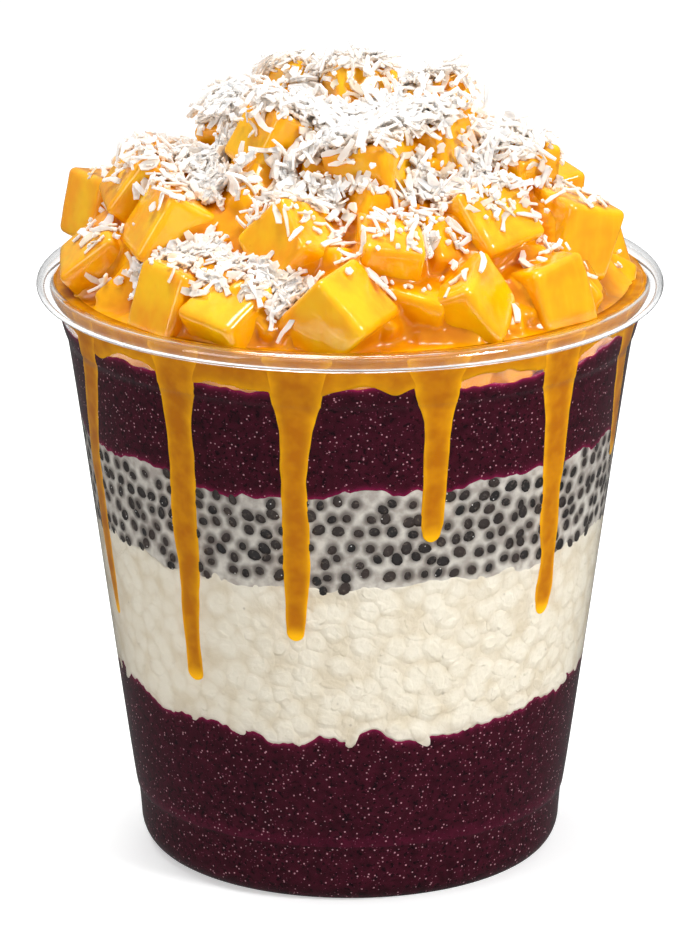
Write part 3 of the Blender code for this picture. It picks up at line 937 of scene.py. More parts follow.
@dataclass
class SauceRuns:
    """Runs of sauce down the inside of the wall, flat against it and rounded behind."""

    reach: float = 0.24
    depth: float = 1.3
    rows: int = 90
    cols: int = 28
    seed: int = 21

    def front(self) -> list[Run]:
        """The runs in front, from left to right."""
        return [
            Run(((92, -62, 4.4), (85, -65, 3.2), (67, -71, 2.4), (50, -71.5, 1.7), (42, -71, 1.0))),
            Run(((92, -35, 6.0), (86, -36, 3.6), (80, -36.8, 2.7), (72, -37.4, 2.3), (56, -38.4, 2.2),
                 (45, -39, 1.8), (37, -39.3, 1.4))),
            Run(((92, -10, 6.5), (86, -10.6, 4.0), (80, -11, 2.6), (68, -11.3, 2.1), (55, -11.5, 2.1),
                 (46.4, -11.9, 1.5))),
            Run(((92, 17, 6.0), (86, 17, 3.6), (81, 17.3, 2.2), (70, 17.6, 1.8), (64, 17.8, 1.8),
                 (62.6, 17.8, 1.5))),
            Run(((92, 45, 5.0), (86, 45.5, 3.6), (76, 47, 2.7), (64, 48.4, 2.2), (54, 49.1, 1.8),
                 (50, 49.2, 2.2), (46.8, 49.3, 1.7))),
            Run(((92, 70, 3.8), (86, 72, 3.0), (75, 75, 2.4), (67.8, 77.5, 1.9))),
        ]

    def back(self, draw: np.random.Generator) -> list[Run]:
        """Runs round the sides and back, spaced evenly with some play, of uneven length."""
        runs = []
        for middle in np.arange(100.0, 261.0, 26.0) + draw.uniform(-6, 6, 7):
            end = float(draw.choice([44.0, 55.0, 63.0, 72.0]) + draw.uniform(-3, 3))
            wide = float(draw.uniform(1.8, 2.5))
            drift = float(draw.uniform(-2.5, 2.5))
            runs.append(Run(((92, middle, wide * 2.3), (86, middle, wide * 1.5),
                             (78, middle + drift * 0.4, wide), (end + 6, middle + drift, wide * 0.9),
                             (end, middle + drift, wide * 0.8))))
        return runs

    def surface(self, cup: Cup, run: Run, seed: int) -> Surface:
        """Carries a half-round section down the run; the end closes as a half circle."""
        line = np.array(run.line)[::-1]
        low = line[0, 0] - line[0, 2]
        share = np.linspace(0.0, 1.0, self.rows)
        height = line[-1, 0] + (low - line[-1, 0]) * np.sin(share * math.pi / 2)
        angle = np.interp(height, line[:, 0], line[:, 1])
        wide = np.interp(height, line[:, 0], line[:, 2])
        spine = on_cup(angle, np.full(len(angle), 40.0), height)
        wide = wide * (1 + 0.13 * noise(spine, 6.0, seed) + 0.07 * noise(spine, 2.3, seed + 2))
        angle = angle + 0.7 * noise(spine, 9.0, seed + 1)
        into = np.clip((height - low) / line[0, 2], 0.0, 1.0)
        wide = wide * np.sqrt(np.clip(1 - (1 - into) ** 2, 0.0, 1.0)) + 0.02
        turn = np.arange(self.cols) * 2 * math.pi / self.cols
        across = np.cos(turn)[None] * wide[:, None]
        thick = np.minimum(self.depth, wide * 0.8)[:, None]
        flat = self.reach * (1.0 - np.abs(np.cos(turn)) ** 18)[None]
        section = np.where(np.sin(turn)[None] > 0, flat, np.sin(turn)[None] * thick)
        radius = cup.inside(height)[:, None] + section
        rings = on_cup(angle[:, None] + np.degrees(across / radius), radius, height[:, None])
        surface = Surface.tube(rings)
        edge = 0.8 * np.abs(np.cos(turn))[None] ** 4 * np.ones((self.rows, 1))
        tip = (1.0 - smooth_step(height, low, low + 3.2))[:, None]
        thin_and_unshaded = np.clip(np.maximum(edge, tip), 0.0, 1.0)
        surface.values["thin_and_unshaded"] = np.append(thin_and_unshaded.ravel(), [0.3, 1.0])
        return surface

    def build(self, cup: Cup, material: bpy.types.Material) -> None:
        """Makes every run as one piece."""
        draw = np.random.default_rng(self.seed)
        runs = self.front() + self.back(draw)
        made = [self.surface(cup, run, self.seed + 3 * i) for i, run in enumerate(runs)]
        joined = join(made)
        joined.build("sauce_runs", material, Slot.SAUCE)


def join(surfaces: list[Surface]) -> Surface:
    """Puts several surfaces into one, each keeping its own points and values."""
    starts = np.cumsum([0] + [len(s.points) for s in surfaces[:-1]])
    values = {key: np.concatenate([s.values[key] for s in surfaces]) for key in surfaces[0].values}
    return Surface(np.concatenate([s.points for s in surfaces]),
                   np.concatenate([s.quads + n for s, n in zip(surfaces, starts)]),
                   np.concatenate([s.triangles + n for s, n in zip(surfaces, starts)]), values)


@dataclass
class SauceCurtain:
    """The band of sauce that hangs between the heap and the wall, with lobes along its lower edge."""

    top: float = 92.3
    mean: float = 88.4
    reach: float = 0.2
    thick: float = 2.4
    cols: int = 900
    seed: int = 40

    def lower(self, angle: np.ndarray) -> np.ndarray:
        """Height of the lower edge: the mean, less a rounded lobe at each broad run, plus lumps."""
        lobes = ((-62, 8, 2.6), (-36, 9, 3.4), (-17, 7, 2.4), (-7, 7, 2.9), (8, 4, 2.0), (17, 9, 2.7),
                 (46, 7, 3.2), (72, 7, 2.0), (100, 9, 2.6), (130, 10, 3.0), (158, 7, 2.2),
                 (182, 9, 2.8), (208, 8, 2.6), (236, 10, 3.0), (262, 8, 2.4))
        height = np.full(angle.shape, self.mean)
        for middle, wide, drop in lobes:
            side = (angle - middle + 180.0) % 360.0 - 180.0
            height = height - drop * np.exp(-(side / wide) ** 2)
        ring = on_cup(angle, np.full(angle.shape, 40.0), np.zeros(angle.shape))
        return height + 1.0 * noise(ring, 5.5, self.seed) + 0.45 * noise(ring, 2.1, self.seed + 1)

    def build(self, cup: Cup, material: bpy.types.Material) -> None:
        """Carries a rounded strip round the cup: outer face on the wall, edge rolled under."""
        angle = np.arange(self.cols) * 360.0 / self.cols - 180.0
        low = self.lower(angle)
        turn = np.radians(np.linspace(0, 180, 9))
        down = np.linspace(0, 1, 9)[:-1]
        outer_z = self.top + (low + 0.6 - self.top) * down[:, None]
        outer_r = cup.inside(outer_z, self.reach)
        roll_z = (low + 0.6)[None] - 0.6 * np.sin(turn)[:, None]
        roll_r = cup.inside(roll_z, self.reach) - self.thick / 2 * (1 - np.cos(turn))[:, None]
        inner_z = outer_z[::-1]
        inner_r = cup.inside(inner_z, self.reach) - self.thick
        heights = np.concatenate([outer_z, roll_z, inner_z])
        radii = np.concatenate([outer_r, roll_r, inner_r])
        rings = on_cup(angle[None], radii, heights)
        rows = len(rings)
        here = np.arange(self.cols)
        beside = (here + 1) % self.cols
        row = np.arange(rows)
        after = (row + 1) % rows
        quads = np.stack(np.broadcast_arrays(row[:, None] * self.cols + here,
                                             after[:, None] * self.cols + here,
                                             after[:, None] * self.cols + beside,
                                             row[:, None] * self.cols + beside), -1)
        surface = Surface(rings.reshape(-1, 3), quads.reshape(-1, 4))
        gap = np.clip(heights - low[None], 0.0, None)
        surface.values["thin_and_unshaded"] = (0.75 * np.exp(-gap / 0.9)).ravel()
        surface.build("sauce_curtain", material, Slot.SAUCE)


# ---- the heap -----------------------------------------------------------------------------------

def boxes_from_frame(prefix: str) -> tuple[list[str], np.ndarray, np.ndarray, np.ndarray]:
    """Reads the middle, axes and half sides of every CAD cube, in millimetres.

    The axes are the normals of a cube's largest faces, and each half side is half its reach.

    Args:
        prefix: how the cubes' node names start.

    Returns:
        Names, middles, axes as rows, and half sides.
    """
    names = sorted(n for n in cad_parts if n.startswith(prefix))
    middles, frames, halves = [], [], []
    for name in names:
        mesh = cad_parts[name].data
        points = np.empty(len(mesh.vertices) * 3, np.float32)
        mesh.vertices.foreach_get("co", points)
        points = points.reshape(-1, 3) * PER_METRE
        normals = np.empty(len(mesh.polygons) * 3, np.float32)
        mesh.polygons.foreach_get("normal", normals)
        normals = normals.reshape(-1, 3)
        areas = np.empty(len(mesh.polygons), np.float32)
        mesh.polygons.foreach_get("area", areas)
        along = np.abs(normals @ normals.T)
        weight = (np.where(along > 0.999, areas[None], 0.0)).sum(1)
        first = normals[np.argmax(weight)]
        square = np.abs(normals @ first) < 0.02
        second = normals[np.argmax(np.where(square, weight, 0.0))]
        second = unit(second - first * (second @ first))
        axes = np.stack([first, second, np.cross(first, second)])
        reach = points @ axes.T
        middle = (reach.max(0) + reach.min(0)) / 2
        middles.append(middle @ axes)
        frames.append(axes)
        halves.append((reach.max(0) - reach.min(0)) / 2)
    return names, np.array(middles), np.array(frames), np.array(halves)


@dataclass
class HeapField:
    """The heap's outline as a distance from one point low inside it, on a flat square of directions.

    A place (u, v) on the square stands for the direction that leans back from straight up by
    its distance from the middle times the widest lean.
    """

    origin_z: float = 76.0
    widest: float = 72.0
    count: int = 560
    mound_radius: float = 39.5
    mound_rise: float = 25.0
    base: float = 92.0

    def __post_init__(self) -> None:
        """Works out the direction of every place on the square."""
        line = np.linspace(-1.0, 1.0, self.count)
        self.step = 2.0 / (self.count - 1)
        across, deep = np.meshgrid(line, line)
        self.ways = self.directions(across, deep)
        self.reach = self.mound(self.ways)

    def directions(self, across: np.ndarray, deep: np.ndarray) -> np.ndarray:
        """Unit directions for places on the square."""
        share = np.hypot(across, deep)
        lean = np.radians(self.widest) * share
        scale = np.where(share > 1e-9, np.sin(lean) / np.maximum(share, 1e-9), 0.0)
        return np.stack([across * scale, deep * scale, np.cos(lean)], -1)

    def mound(self, ways: np.ndarray) -> np.ndarray:
        """Distance to the plain mound: an oval side with a slack crown, met by interpolation."""
        share = np.linspace(0.0, 1.0, 400)
        radius = self.mound_radius * np.sqrt(np.clip(1 - share ** 1.3, 0, 1))
        tall = self.base + share * self.mound_rise - self.origin_z
        flare = np.linspace(44.6, self.mound_radius, 40)[:-1]
        radius = np.concatenate([flare, radius])
        tall = np.concatenate([np.full(39, self.base - self.origin_z), tall])
        lean = np.arctan2(radius, tall)
        order = np.argsort(lean)
        asked = np.arccos(np.clip(ways[..., 2], -1, 1))
        return np.interp(asked, lean[order], np.hypot(radius, tall)[order])

    def boxes(self, middles: np.ndarray, axes: np.ndarray, halves: np.ndarray) -> np.ndarray:
        """Distance to the far side of the outermost box on each direction, 0 where none is met.

        For each box the line is cut by three pairs of planes; it leaves at the nearest far plane.
        """
        origin = np.array([0.0, 0.0, self.origin_z])
        furthest = np.zeros(self.ways.shape[:2])
        for middle, frame_axes, half in zip(middles, axes, halves):
            start = frame_axes @ (origin - middle)
            slope = self.ways @ frame_axes.T
            slope = np.where(np.abs(slope) < 1e-9, 1e-9, slope)
            one = (-half - start) / slope
            two = (half - start) / slope
            enter = np.minimum(one, two).max(-1)
            leave = np.maximum(one, two).min(-1)
            furthest = np.maximum(furthest, np.where((enter < leave) & (leave > 0), leave, 0.0))
        return furthest

    def blur(self, values: np.ndarray, size: float) -> np.ndarray:
        """Smooths a field by a bell curve, through its waves. Size is in millimetres on the heap."""
        cell = self.step * math.radians(self.widest) * 40.0
        row = np.fft.fftfreq(self.count)[:, None]
        col = np.fft.rfftfreq(self.count)[None]
        keep = np.exp(-2 * (math.pi * size / cell) ** 2 * (row ** 2 + col ** 2))
        return np.fft.irfft2(np.fft.rfft2(values) * keep, s=values.shape)

    def sample(self, values: np.ndarray, across: np.ndarray, deep: np.ndarray) -> np.ndarray:
        """Reads a field between its places, by the four nearest."""
        col = np.clip((across + 1) / self.step, 0, self.count - 1.001)
        row = np.clip((deep + 1) / self.step, 0, self.count - 1.001)
        c0, r0 = col.astype(int), row.astype(int)
        c, r = col - c0, row - r0
        return (values[r0, c0] * (1 - r) * (1 - c) + values[r0, c0 + 1] * (1 - r) * c
                + values[r0 + 1, c0] * r * (1 - c) + values[r0 + 1, c0 + 1] * r * c)

    def point(self, values: np.ndarray, across: np.ndarray, deep: np.ndarray) -> np.ndarray:
        """Places on the heap for places on the square."""
        far = self.sample(values, across, deep)[..., None]
        return self.directions(across, deep) * far + np.array([0.0, 0.0, self.origin_z])


@dataclass
class Heap:
    """Mango cubes, the sauce that holds them, and the coconut over them."""

    cube_edge: float = 1.0
    cube_grow: float = 0.22
    cube_grid: int = 18
    sauce_sink: float = 0.85
    buried: int = 46
    by_rim: int = 17
    seed: int = 7

    def __post_init__(self) -> None:
        """Reads the cubes and works out the heap's surfaces."""
        self.names, self.middles, self.axes, self.halves = boxes_from_frame("mango_cube")
        self.shape = HeapField()
        cubes = self.shape.boxes(self.middles, self.axes, self.halves + self.cube_grow)
        mound = self.shape.reach
        draw = np.random.default_rng(self.seed)
        lumps = self.buried_fruit(draw)
        lumps = self.shape.blur(np.maximum(mound, lumps), 0.55)
        hard = np.maximum(np.maximum(cubes, lumps), mound)
        soft = self.shape.blur(hard, 1.25) - self.sauce_sink
        places = self.shape.ways * hard[..., None]
        ripple = 0.22 * noise(places, 4.0, 11) + 0.1 * noise(places, 1.7, 12)
        self.sauce = np.maximum(np.maximum(soft, lumps), mound) + ripple
        self.top = np.maximum(cubes, self.sauce)
        self.valley = self.shape.blur(self.top, 3.4) - self.top

    def buried_fruit(self, draw: np.random.Generator) -> np.ndarray:
        """Fruit under the sauce in the places that no cube fills, as boxes turned at random."""
        count = self.buried
        index = np.arange(count) + 0.5
        share = index / count
        lean = np.radians(self.shape.widest) * np.sqrt(share) * 0.97
        round_turn = index * 2.39996
        ways = np.stack([np.sin(lean) * np.cos(round_turn), np.sin(lean) * np.sin(round_turn),
                         np.cos(lean)], 1)
        far = self.shape.mound(ways) - draw.uniform(2.2, 3.6, count)
        middles = ways * far[:, None] + np.array([0, 0, self.shape.origin_z])
        axes = turn_matrices(draw.uniform(0, math.pi, (count, 3)))
        halves = draw.uniform(4.2, 5.2, (count, 3))
        spread = self.shape.boxes(middles, axes, halves)
        turn = (np.arange(self.by_rim) + draw.uniform(-0.25, 0.25, self.by_rim)) * 360.0 / self.by_rim
        middles = on_cup(turn, draw.uniform(35.0, 37.0, self.by_rim),
                         draw.uniform(91.5, 95.5, self.by_rim))
        axes = turn_matrices(draw.uniform(0, math.pi, (self.by_rim, 3)))
        halves = draw.uniform(4.6, 5.4, (self.by_rim, 3))
        return np.maximum(spread, self.shape.boxes(middles, axes, halves))

    def cube(self, index: int) -> Surface:
        """One cube: a grid on each face pushed to a box with rounded edges, then made uneven.

        A point keeps to the box shrunk by the edge's radius, plus that radius along the way out,
        with faces crowned a little and low lumps over it all.
        """
        count = self.cube_grid
        even = np.linspace(-1, 1, count + 1)
        line = np.sin(even * math.pi / 2) * 0.35 + even * 0.65
        number = np.arange((count + 1) ** 2).reshape(count + 1, count + 1)
        face = np.stack([number[:-1, :-1], number[:-1, 1:], number[1:, 1:], number[1:, :-1]], -1)
        one, two = np.meshgrid(line, line, indexing="xy")
        sides, quads = [], []
        for axis, sign in itertools.product(range(3), (-1.0, 1.0)):
            grid = np.empty((count + 1, count + 1, 3))
            grid[..., axis] = sign
            grid[..., (axis + 1) % 3] = one
            grid[..., (axis + 2) % 3] = two
            sides.append(grid.reshape(-1, 3))
            order = face.reshape(-1, 4) if sign > 0 else face.reshape(-1, 4)[:, ::-1]
            quads.append(order + len(quads) * (count + 1) ** 2)
        points = np.concatenate(sides)
        keys = np.round(points * 1e5).astype(np.int64)
        _, first, back = np.unique(keys, axis=0, return_index=True, return_inverse=True)
        points = points[first]
        joined = back.reshape(-1)[np.concatenate(quads)]
        half = self.halves[index] + self.cube_grow
        placed = points * half
        core = np.clip(placed, -(half - self.cube_edge), half - self.cube_edge)
        out = unit(placed - core)
        placed = core + out * self.cube_edge
        seed = 100 + index
        local = placed + index * 37.0
        crown = 0.22 * np.prod(1 - np.clip(np.abs(points), 0, 1) ** 2 * 0.5, axis=1)
        lumps = 0.2 * noise(local, 7.0, seed) + 0.07 * noise(local, 2.6, seed + 1)
        taper = 1 + 0.035 * points[:, [1, 2, 0]] * np.sin(index * 1.7)
        placed = placed * taper + out * (crown + lumps)[:, None]
        world = placed @ self.axes[index] + self.middles[index]
        return Surface(world, joined, values={"thin_and_unshaded": np.zeros(len(world))})

    def build_cubes(self, material: bpy.types.Material) -> None:
        """Makes every cube in place of its CAD node."""
        for index, name in enumerate(self.names):
            self.cube(index).build("fruit" + name[len("mango_cube"):], material, Slot.MANGO, (name,))

    def build_sauce(self, cup: Cup, material: bpy.types.Material) -> None:
        """Makes the mound as rings over the heap, closed below, its rim tucked behind the wall."""
        rows, cols = 150, 600
        share = np.linspace(1.0, 0.0, rows + 1)[:-1][:, None]
        turn = np.arange(cols)[None] * 2 * math.pi / cols
        over = self.shape.point(self.sauce, share * np.cos(turn), share * np.sin(turn))
        edge = np.hypot(over[..., 0], over[..., 1])
        limit = 44.6 + np.clip(over[..., 2] - 91.0, 0, None) * 0.05
        pull = np.minimum(1.0, limit / np.maximum(edge, 1e-6))
        over[..., :2] *= pull[..., None]
        way = unit(over[0] * np.array([1.0, 1.0, 0.0]))
        levels = np.array([85.0, 85.0, 85.8, 86.6, 87.4, 88.2, 89.0, 89.8, 90.6])[:, None]
        touch = cup.inside(levels) - 0.1
        touch[0] = 30.0
        under = way[None] * touch[..., None]
        place = under + np.array([0.0, 0.0, 1.0]) * levels[..., None]
        hollows = np.clip(0.6 * noise(place, 3.2, 13) + 0.2 * noise(place, 1.5, 14) + 0.1, 0.0, 1.0)
        under = under - way[None] * hollows[..., None] * 1.6
        under[..., 2] = levels
        surface = Surface.tube(np.concatenate([under, over]), (0, 0, 85.0))
        across = share * np.cos(turn)
        deep = share * np.sin(turn)
        # Painted shade: the mound is painted darker orange in the hollows between the cubes.
        hollow = smooth_step(self.shape.sample(self.valley, across, deep), -0.4, 1.8)
        surface.values["thin_and_unshaded"] = np.concatenate([np.full(under.size // 3, 0.2),
                                                 (0.85 - 0.8 * hollow).ravel(), [0.3, 0.3]])
        surface.build("mango_sauce", material, Slot.SAUCE, ("mango_mound",))


@dataclass
class Coconut:
    """Shreds and crumbs of coconut, thick over the crown and caught between the cubes lower down."""

    shreds: int = 2900
    crumbs: int = 2600
    seed: int = 17
    depth: float = 2.4

    def drop(self, heap: Heap, count: int, draw: np.random.Generator,
             lift: float) -> tuple[np.ndarray, np.ndarray, np.ndarray]:
        """Where bits land: likely on the crown, on level faces and in valleys, rarely on steep faces.

        Args:
            heap: the heap they fall on.
            count: how many are wanted.
            draw: source of chance.
            lift: share of the depth that they pile up to.

        Returns:
            Their places, the surface's direction there, and how near the fruit each lies, 0 to 1.
        """
        tries = count * 14
        share = np.sqrt(draw.uniform(0, 0.92, tries))
        turn = draw.uniform(0, 2 * math.pi, tries)
        u, v = share * np.cos(turn), share * np.sin(turn)
        step = 2.2 * heap.shape.step
        soft = heap.shape.blur(heap.top, 0.7)
        here = heap.shape.point(soft, u, v)
        aside = heap.shape.point(soft, u + step, v) - here
        beyond = heap.shape.point(soft, u, v + step) - here
        normal = unit(np.cross(aside, beyond))
        radius = np.hypot(here[:, 0], here[:, 1])
        height = here[:, 2]
        crown = smooth_step(height, 106.0, 120.0)
        valley = smooth_step(heap.shape.sample(heap.valley, u, v), 0.0, 1.3)
        level = smooth_step(normal[:, 2], 0.45, 0.85)
        trail = smooth_step(noise(here, 11.0, self.seed), -0.1, 0.45)
        low = smooth_step(height, 93.5, 100.5)
        chance = crown * (0.08 + 0.92 * np.maximum(level, valley))
        chance = chance + low * (0.95 * valley * trail + 0.05 * level + 0.1 * level * trail)
        chance = np.clip(chance, 0.0, 1.0) * (radius < 42.0)
        taken = np.flatnonzero(draw.uniform(0, 1, tries) < chance)[:count]
        rank = draw.uniform(0, 1, len(taken))
        hollow = np.clip(heap.shape.sample(heap.valley, u[taken], v[taken]), 0.0, 3.5)
        pile = 0.35 + lift * self.depth * (0.25 + 0.75 * crown[taken]) * rank ** 1.4
        pile = pile + hollow * crown[taken] * rank
        return here[taken] + normal[taken] * pile[:, None], normal[taken], 1.0 - rank

    def frames(self, normal: np.ndarray, tilt: float, draw: np.random.Generator) -> np.ndarray:
        """Axes for each bit: along it, across it and out of the heap, turned and tilted at random."""
        count = len(normal)
        any_way = draw.normal(size=(count, 3))
        along = unit(np.cross(normal, any_way))
        lean = draw.normal(0.0, tilt, count)
        along = unit(along + normal * lean[:, None])
        across = unit(np.cross(normal, along))
        roll = draw.normal(0.0, 0.5, count)[:, None]
        out = np.cross(along, across)
        across, out = (across * np.cos(roll) + out * np.sin(roll),
                       out * np.cos(roll) - across * np.sin(roll))
        return np.stack([along, across, out], 1)

    def build_shreds(self, heap: Heap, material: bpy.types.Material, name: str, seed: int) -> None:
        """Carries a thin four-cornered section along a curved line, with a jagged width."""
        draw = np.random.default_rng(seed)
        place, normal, near = self.drop(heap, self.shreds, draw, 1.0)
        count = len(place)
        axes = self.frames(normal, 0.33, draw)
        length = 1.5 + 3.4 * draw.uniform(0, 1, count) ** 1.5
        wide = draw.uniform(0.6, 1.25, count)
        thick = draw.uniform(0.2, 0.42, count)
        rings = 4
        t = np.linspace(-1, 1, rings)[None]
        bend = draw.normal(0, 0.22, (count, 1)) * length[:, None] / 4
        lift = draw.normal(0, 0.12, (count, 1)) * length[:, None] / 4
        width = wide[:, None] * (0.78 + 0.22 * (1 - t ** 2)) * (1 + draw.uniform(-0.45, 0.4, (count, rings)))
        x = (t + draw.uniform(-0.1, 0.1, (count, rings))) * length[:, None] / 2
        y = bend * (1 - t ** 2) + draw.uniform(-0.16, 0.16, (count, rings))
        z = lift * (1 - t ** 2)
        corners = np.array([(-1, -1), (1, -1), (1, 1), (-1, 1)]) * 0.5
        section_y = y[..., None] + corners[:, 0] * width[..., None]
        section_z = z[..., None] + corners[:, 1] * thick[:, None, None]
        local = np.stack(np.broadcast_arrays(x[..., None], section_y, section_z), -1)
        local = local.reshape(count, -1, 3)
        world = np.einsum("nij,njk->nik", local, axes) + place[:, None]
        base = Surface.tube(np.zeros((rings, 4, 3)))
        ends = world.reshape(count, rings, 4, 3)
        poles = np.stack([ends[:, 0].mean(1), ends[:, -1].mean(1)], 1)
        world = np.concatenate([world, poles], 1)
        # Painted warm shade, stronger for shreds lying low near the fruit, scaled at random.
        tone = near * draw.uniform(0.5, 1.0, count)
        surface = Surface.copies(world, base.quads, base.triangles, {"tone": tone})
        surface.build(name, material, Slot.COCONUT, smooth=False)

    def build_crumbs(self, heap: Heap, material: bpy.types.Material) -> None:
        """Scatters small uneven crumbs between the shreds."""
        draw = np.random.default_rng(self.seed + 1)
        place, normal, near = self.drop(heap, self.crumbs, draw, 0.7)
        count = len(place)
        points, quads, triangles = ball(2, 5)
        axes = self.frames(normal, 0.8, draw)
        half = draw.uniform(0.25, 0.62, (count, 1, 3))
        rough = 1 + draw.uniform(-0.28, 0.28, (count, len(points), 1))
        world = np.einsum("nij,njk->nik", points[None] * half * rough, axes) + place[:, None]
        # Painted warm shade, stronger for crumbs lying low near the fruit, scaled at random.
        tone = near * draw.uniform(0.5, 1.0, count)
        surface = Surface.copies(world, quads, triangles, {"tone": tone})
        surface.build("coconut_crumbs", material, Slot.COCONUT, smooth=False)


# ---- stage --------------------------------------------------------------------------------------

@dataclass
class Lamp:
    """A soft square lamp that looks at the cup."""

    name: str
    place: tuple[float, float, float]
    size: float
    power: float

    def build(self) -> None:
        """Hangs the lamp and turns it to the middle of the cup."""
        light = bpy.data.lights.new(self.name, "AREA")
        light.size = self.size
        light.energy = self.power
        lamp = bpy.data.objects.new(self.name, light)
        bpy.context.scene.collection.objects.link(lamp)
        lamp.location = self.place
        away = lamp.location.copy()
        away.z -= 0.07
        lamp.rotation_euler = away.to_track_quat("Z", "Y").to_euler()


@dataclass
class Studio:
    """A white floor and backdrop, soft lamps and the camera."""

    camera_place: tuple[float, float, float] = (0.0, -0.8856, 0.3343)
    camera_pitch: float = 17.146
    lens: float = 226.63
    sky: float = 0.45
    ground: float = 0.1
    floor_near: float = 0.2
    floor_far: float = 0.7

    def world(self) -> None:
        """A pale even sky, seen as plain white."""
        world = bpy.data.worlds.new("sky")
        bpy.context.scene.world = world
        world.use_nodes = True
        sheet = Sheet(world.node_tree)
        back = world.node_tree.nodes["Background"]
        back.inputs["Color"].default_value = (1.0, 1.0, 1.0, 1.0)
        path = sheet.add("LightPath")
        seen = sheet.math("MAXIMUM", path.outputs["Is Camera Ray"], path.outputs["Is Transmission Ray"])
        way = sheet.add("SeparateXYZ", {0: sheet.add("TexCoord").outputs["Generated"]})
        sky = sheet.add("MapRange", {"Value": way.outputs["Z"], "From Min": -0.3, "From Max": 0.7,
                                     "To Min": self.ground, "To Max": self.sky}).outputs[0]
        sheet.tree.links.new(sheet.math("MAXIMUM", sky, seen), back.inputs["Strength"])

    def floor(self) -> None:
        """A large pale disc that keeps the cup's soft shadow near by and is plain white far away."""
        material = bpy.data.materials.new("floor")
        material.use_nodes = True
        sheet = Sheet(material.node_tree)
        shader = material.node_tree.nodes["Principled BSDF"]
        shader.inputs["Base Color"].default_value = (0.86, 0.86, 0.86, 1.0)
        shader.inputs["Roughness"].default_value = 0.9
        shader.inputs["Specular IOR Level"].default_value = 0.1
        path = sheet.add("LightPath")
        seen = sheet.math("MAXIMUM", path.outputs["Is Camera Ray"], path.outputs["Is Transmission Ray"])
        shader.inputs["Emission Color"].default_value = (1.0, 1.0, 1.0, 1.0)
        sheet.tree.links.new(sheet.math("MULTIPLY", seen, 0.42), shader.inputs["Emission Strength"])
        away = sheet.add("VectorMath", {0: sheet.add("TexCoord").outputs["Object"]}, operation="LENGTH")
        far = sheet.add("MapRange", {"Value": away.outputs["Value"], "From Min": self.floor_near,
                                     "From Max": self.floor_far}, interpolation_type="SMOOTHSTEP").outputs[0]
        plain = sheet.add("Emission", {"Strength": 1.0})
        mixed = sheet.add("MixShader", {0: sheet.math("MULTIPLY", seen, far),
                                        1: shader.outputs[0], 2: plain.outputs[0]})
        output = material.node_tree.nodes["Material Output"]
        sheet.tree.links.new(mixed.outputs[0], output.inputs["Surface"])
        angle = np.arange(96) * 2 * math.pi / 96
        ring = np.stack([np.cos(angle), np.sin(angle), np.zeros(96)], 1) * 6.0
        mesh = bpy.data.meshes.new("floor")
        mesh.from_pydata(ring.tolist(), [], [list(range(96))])
        mesh.materials.append(material)
        item = bpy.data.objects.new("floor", mesh)
        bpy.context.scene.collection.objects.link(item)
        item.visible_glossy = False

    def camera(self) -> None:
        """The camera, a long lens a little above the rim."""
        data = bpy.data.cameras.new("camera")
        data.sensor_fit = "AUTO"
        data.sensor_width = 36.0
        data.lens = self.lens
        data.clip_end = 50.0
        item = bpy.data.objects.new("camera", data)
        bpy.context.scene.collection.objects.link(item)
        item.location = self.camera_place
        item.rotation_euler = (math.radians(90.0 - self.camera_pitch), 0.0, 0.0)
        bpy.context.scene.camera = item

    def build(self) -> None:
        """Sets everything up."""
        bpy.context.scene.view_settings.view_transform = "Standard"
        self.world()
        self.floor()
        self.camera()
        Lamp("key", (0.75, -0.55, 0.8), 0.3, 8.4).build()
        Lamp("fill", (-0.85, -0.7, 0.45), 0.45, 2.4).build()
        Lamp("top", (-0.1, 0.1, 1.1), 0.42, 8.6).build()


# ---- all together -------------------------------------------------------------------------------

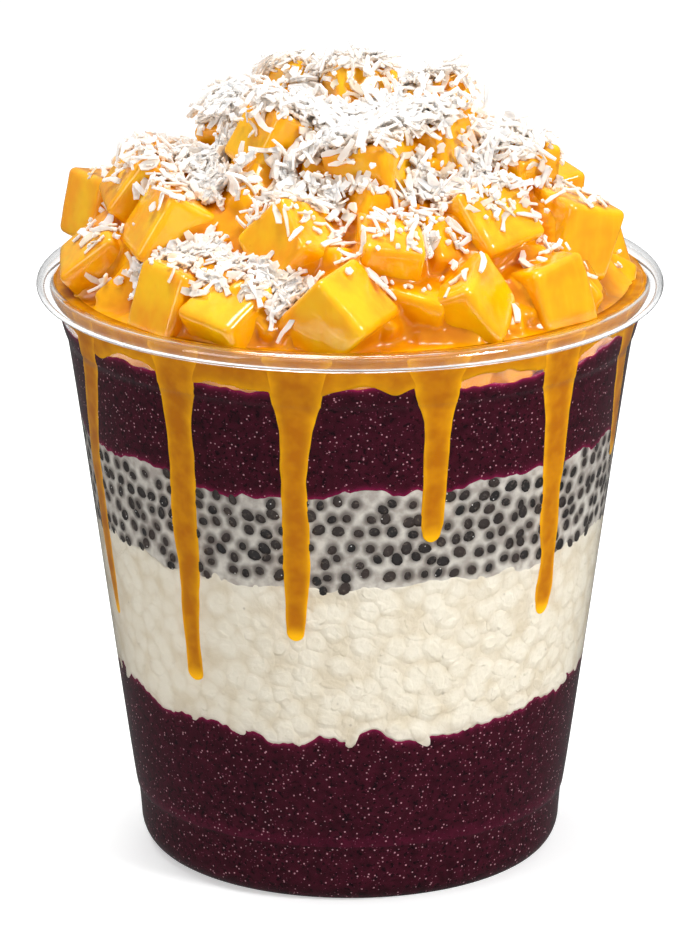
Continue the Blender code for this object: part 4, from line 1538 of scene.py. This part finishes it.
def main() -> None:
    """Builds every piece from the cup inwards and upwards."""
    logging.basicConfig(level=logging.INFO, format="%(name)s: %(message)s")
    build_shared_groups()
    cup = Cup()
    cup.build(ClearFinish("clear_plastic", roughness=0.02).build())

    low_acai = Edge(30.0, ((2, 1.6, 170.0), (5, 0.6, 15.0), (9, 0.5, 60.0)), 0.85, 4.0, 31)
    rice_top = Edge(54.4, ((2, 0.9, 170.0), (6, 0.5, 40.0), (8, 0.35, 200.0)), 0.5, 4.0, 33)
    chia_top = Edge(70.0, ((2, 1.1, 150.0), (5, 0.3, 80.0), (8, 0.3, 15.0)), 0.65, 3.6, 35)
    acai_top = Edge(86.7, ((2, 0.6, 165.0), (5, 0.3, 30.0), (7, 0.25, 100.0)), 0.5, 4.5, 37)

    puree = PureeFinish("acai_puree", roughness=0.4, shine=0.02).build()
    Layer("lower_acai", "acai_lower", None, low_acai, seed=51, painted_edge_light=0.35, painted_edge_light_in=0.5,
          rows=96).build(cup, puree, Slot.ACAI)
    Layer("upper_acai", "acai_upper", chia_top, acai_top, seed=52, tuck=0.0, reach=0.1,
          painted_edge_light=0.35).build(cup, puree, Slot.ACAI)

    rice = RiceFinish("creamy_rice", roughness=0.45, shine=0.2).build()
    cream = Layer("rice_cream", "rice_layer", low_acai, rice_top, reach=0.09, seed=53)
    surface = cream.surface(cup)
    surface.values["tone"] = np.full(len(surface.points), 0.35)
    surface.build("rice_cream", rice, Slot.RICE, ("rice_layer",))
    PressedBits("rice_grains", low_acai, rice_top, 3.5, (5.2, 2.5, 1.9), 0.15, 0.4, reach=0.115,
                seed=61, rows=9, cols=16, margin=0.2).build(cup, rice, Slot.RICE)

    gel_finish = GelFinish("chia_gel", roughness=0.3, shine=0.2).build()
    seed_finish = SeedFinish("chia_seed", roughness=0.3, shine=0.2).build()
    seeds = PressedBits("chia_seeds", rice_top, chia_top, 2.75, (2.4, 1.9, 1.4), 0.22, 0.28,
                        reach=0.16, seed=62, margin=0.2)
    angle, height = seeds.build(cup, seed_finish, Slot.CHIA)
    gel = Layer("chia_gel", "chia_layer", rice_top, chia_top, reach=0.06, seed=54, cols=1100, rows=72)
    surface = gel.surface(cup)
    # Painted shade round each seed, darkest next to it.
    surface.values["seed_shade"] = nearness(surface, angle, height, 1.6)
    surface.build("chia_gel", gel_finish, Slot.CHIA, ("chia_layer",))

    sauce = SauceFinish("mango_sauce", roughness=0.16, coat=0.2, shine=0.35).build()
    on_wall = SauceFinish("wall_sauce", roughness=0.25, shine=0.05, core=linear(178, 108, 0),
                          thin_and_unshaded=linear(250, 186, 4)).build()
    SauceCurtain().build(cup, on_wall)
    SauceRuns().build(cup, on_wall)

    heap = Heap()
    heap.build_cubes(FruitFinish("mango_fruit", roughness=0.22, coat=0.5).build())
    heap.build_sauce(cup, sauce)
    flakes = Coconut()
    white = CoconutFinish("coconut", roughness=0.6).build()
    flakes.build_shreds(heap, white, "coconut_shreds_under", flakes.seed)
    flakes.build_shreds(heap, white, "coconut_shreds_over", flakes.seed + 5)
    flakes.build_crumbs(heap, white)

    Studio().build()


if __name__ == "__main__":
    main()
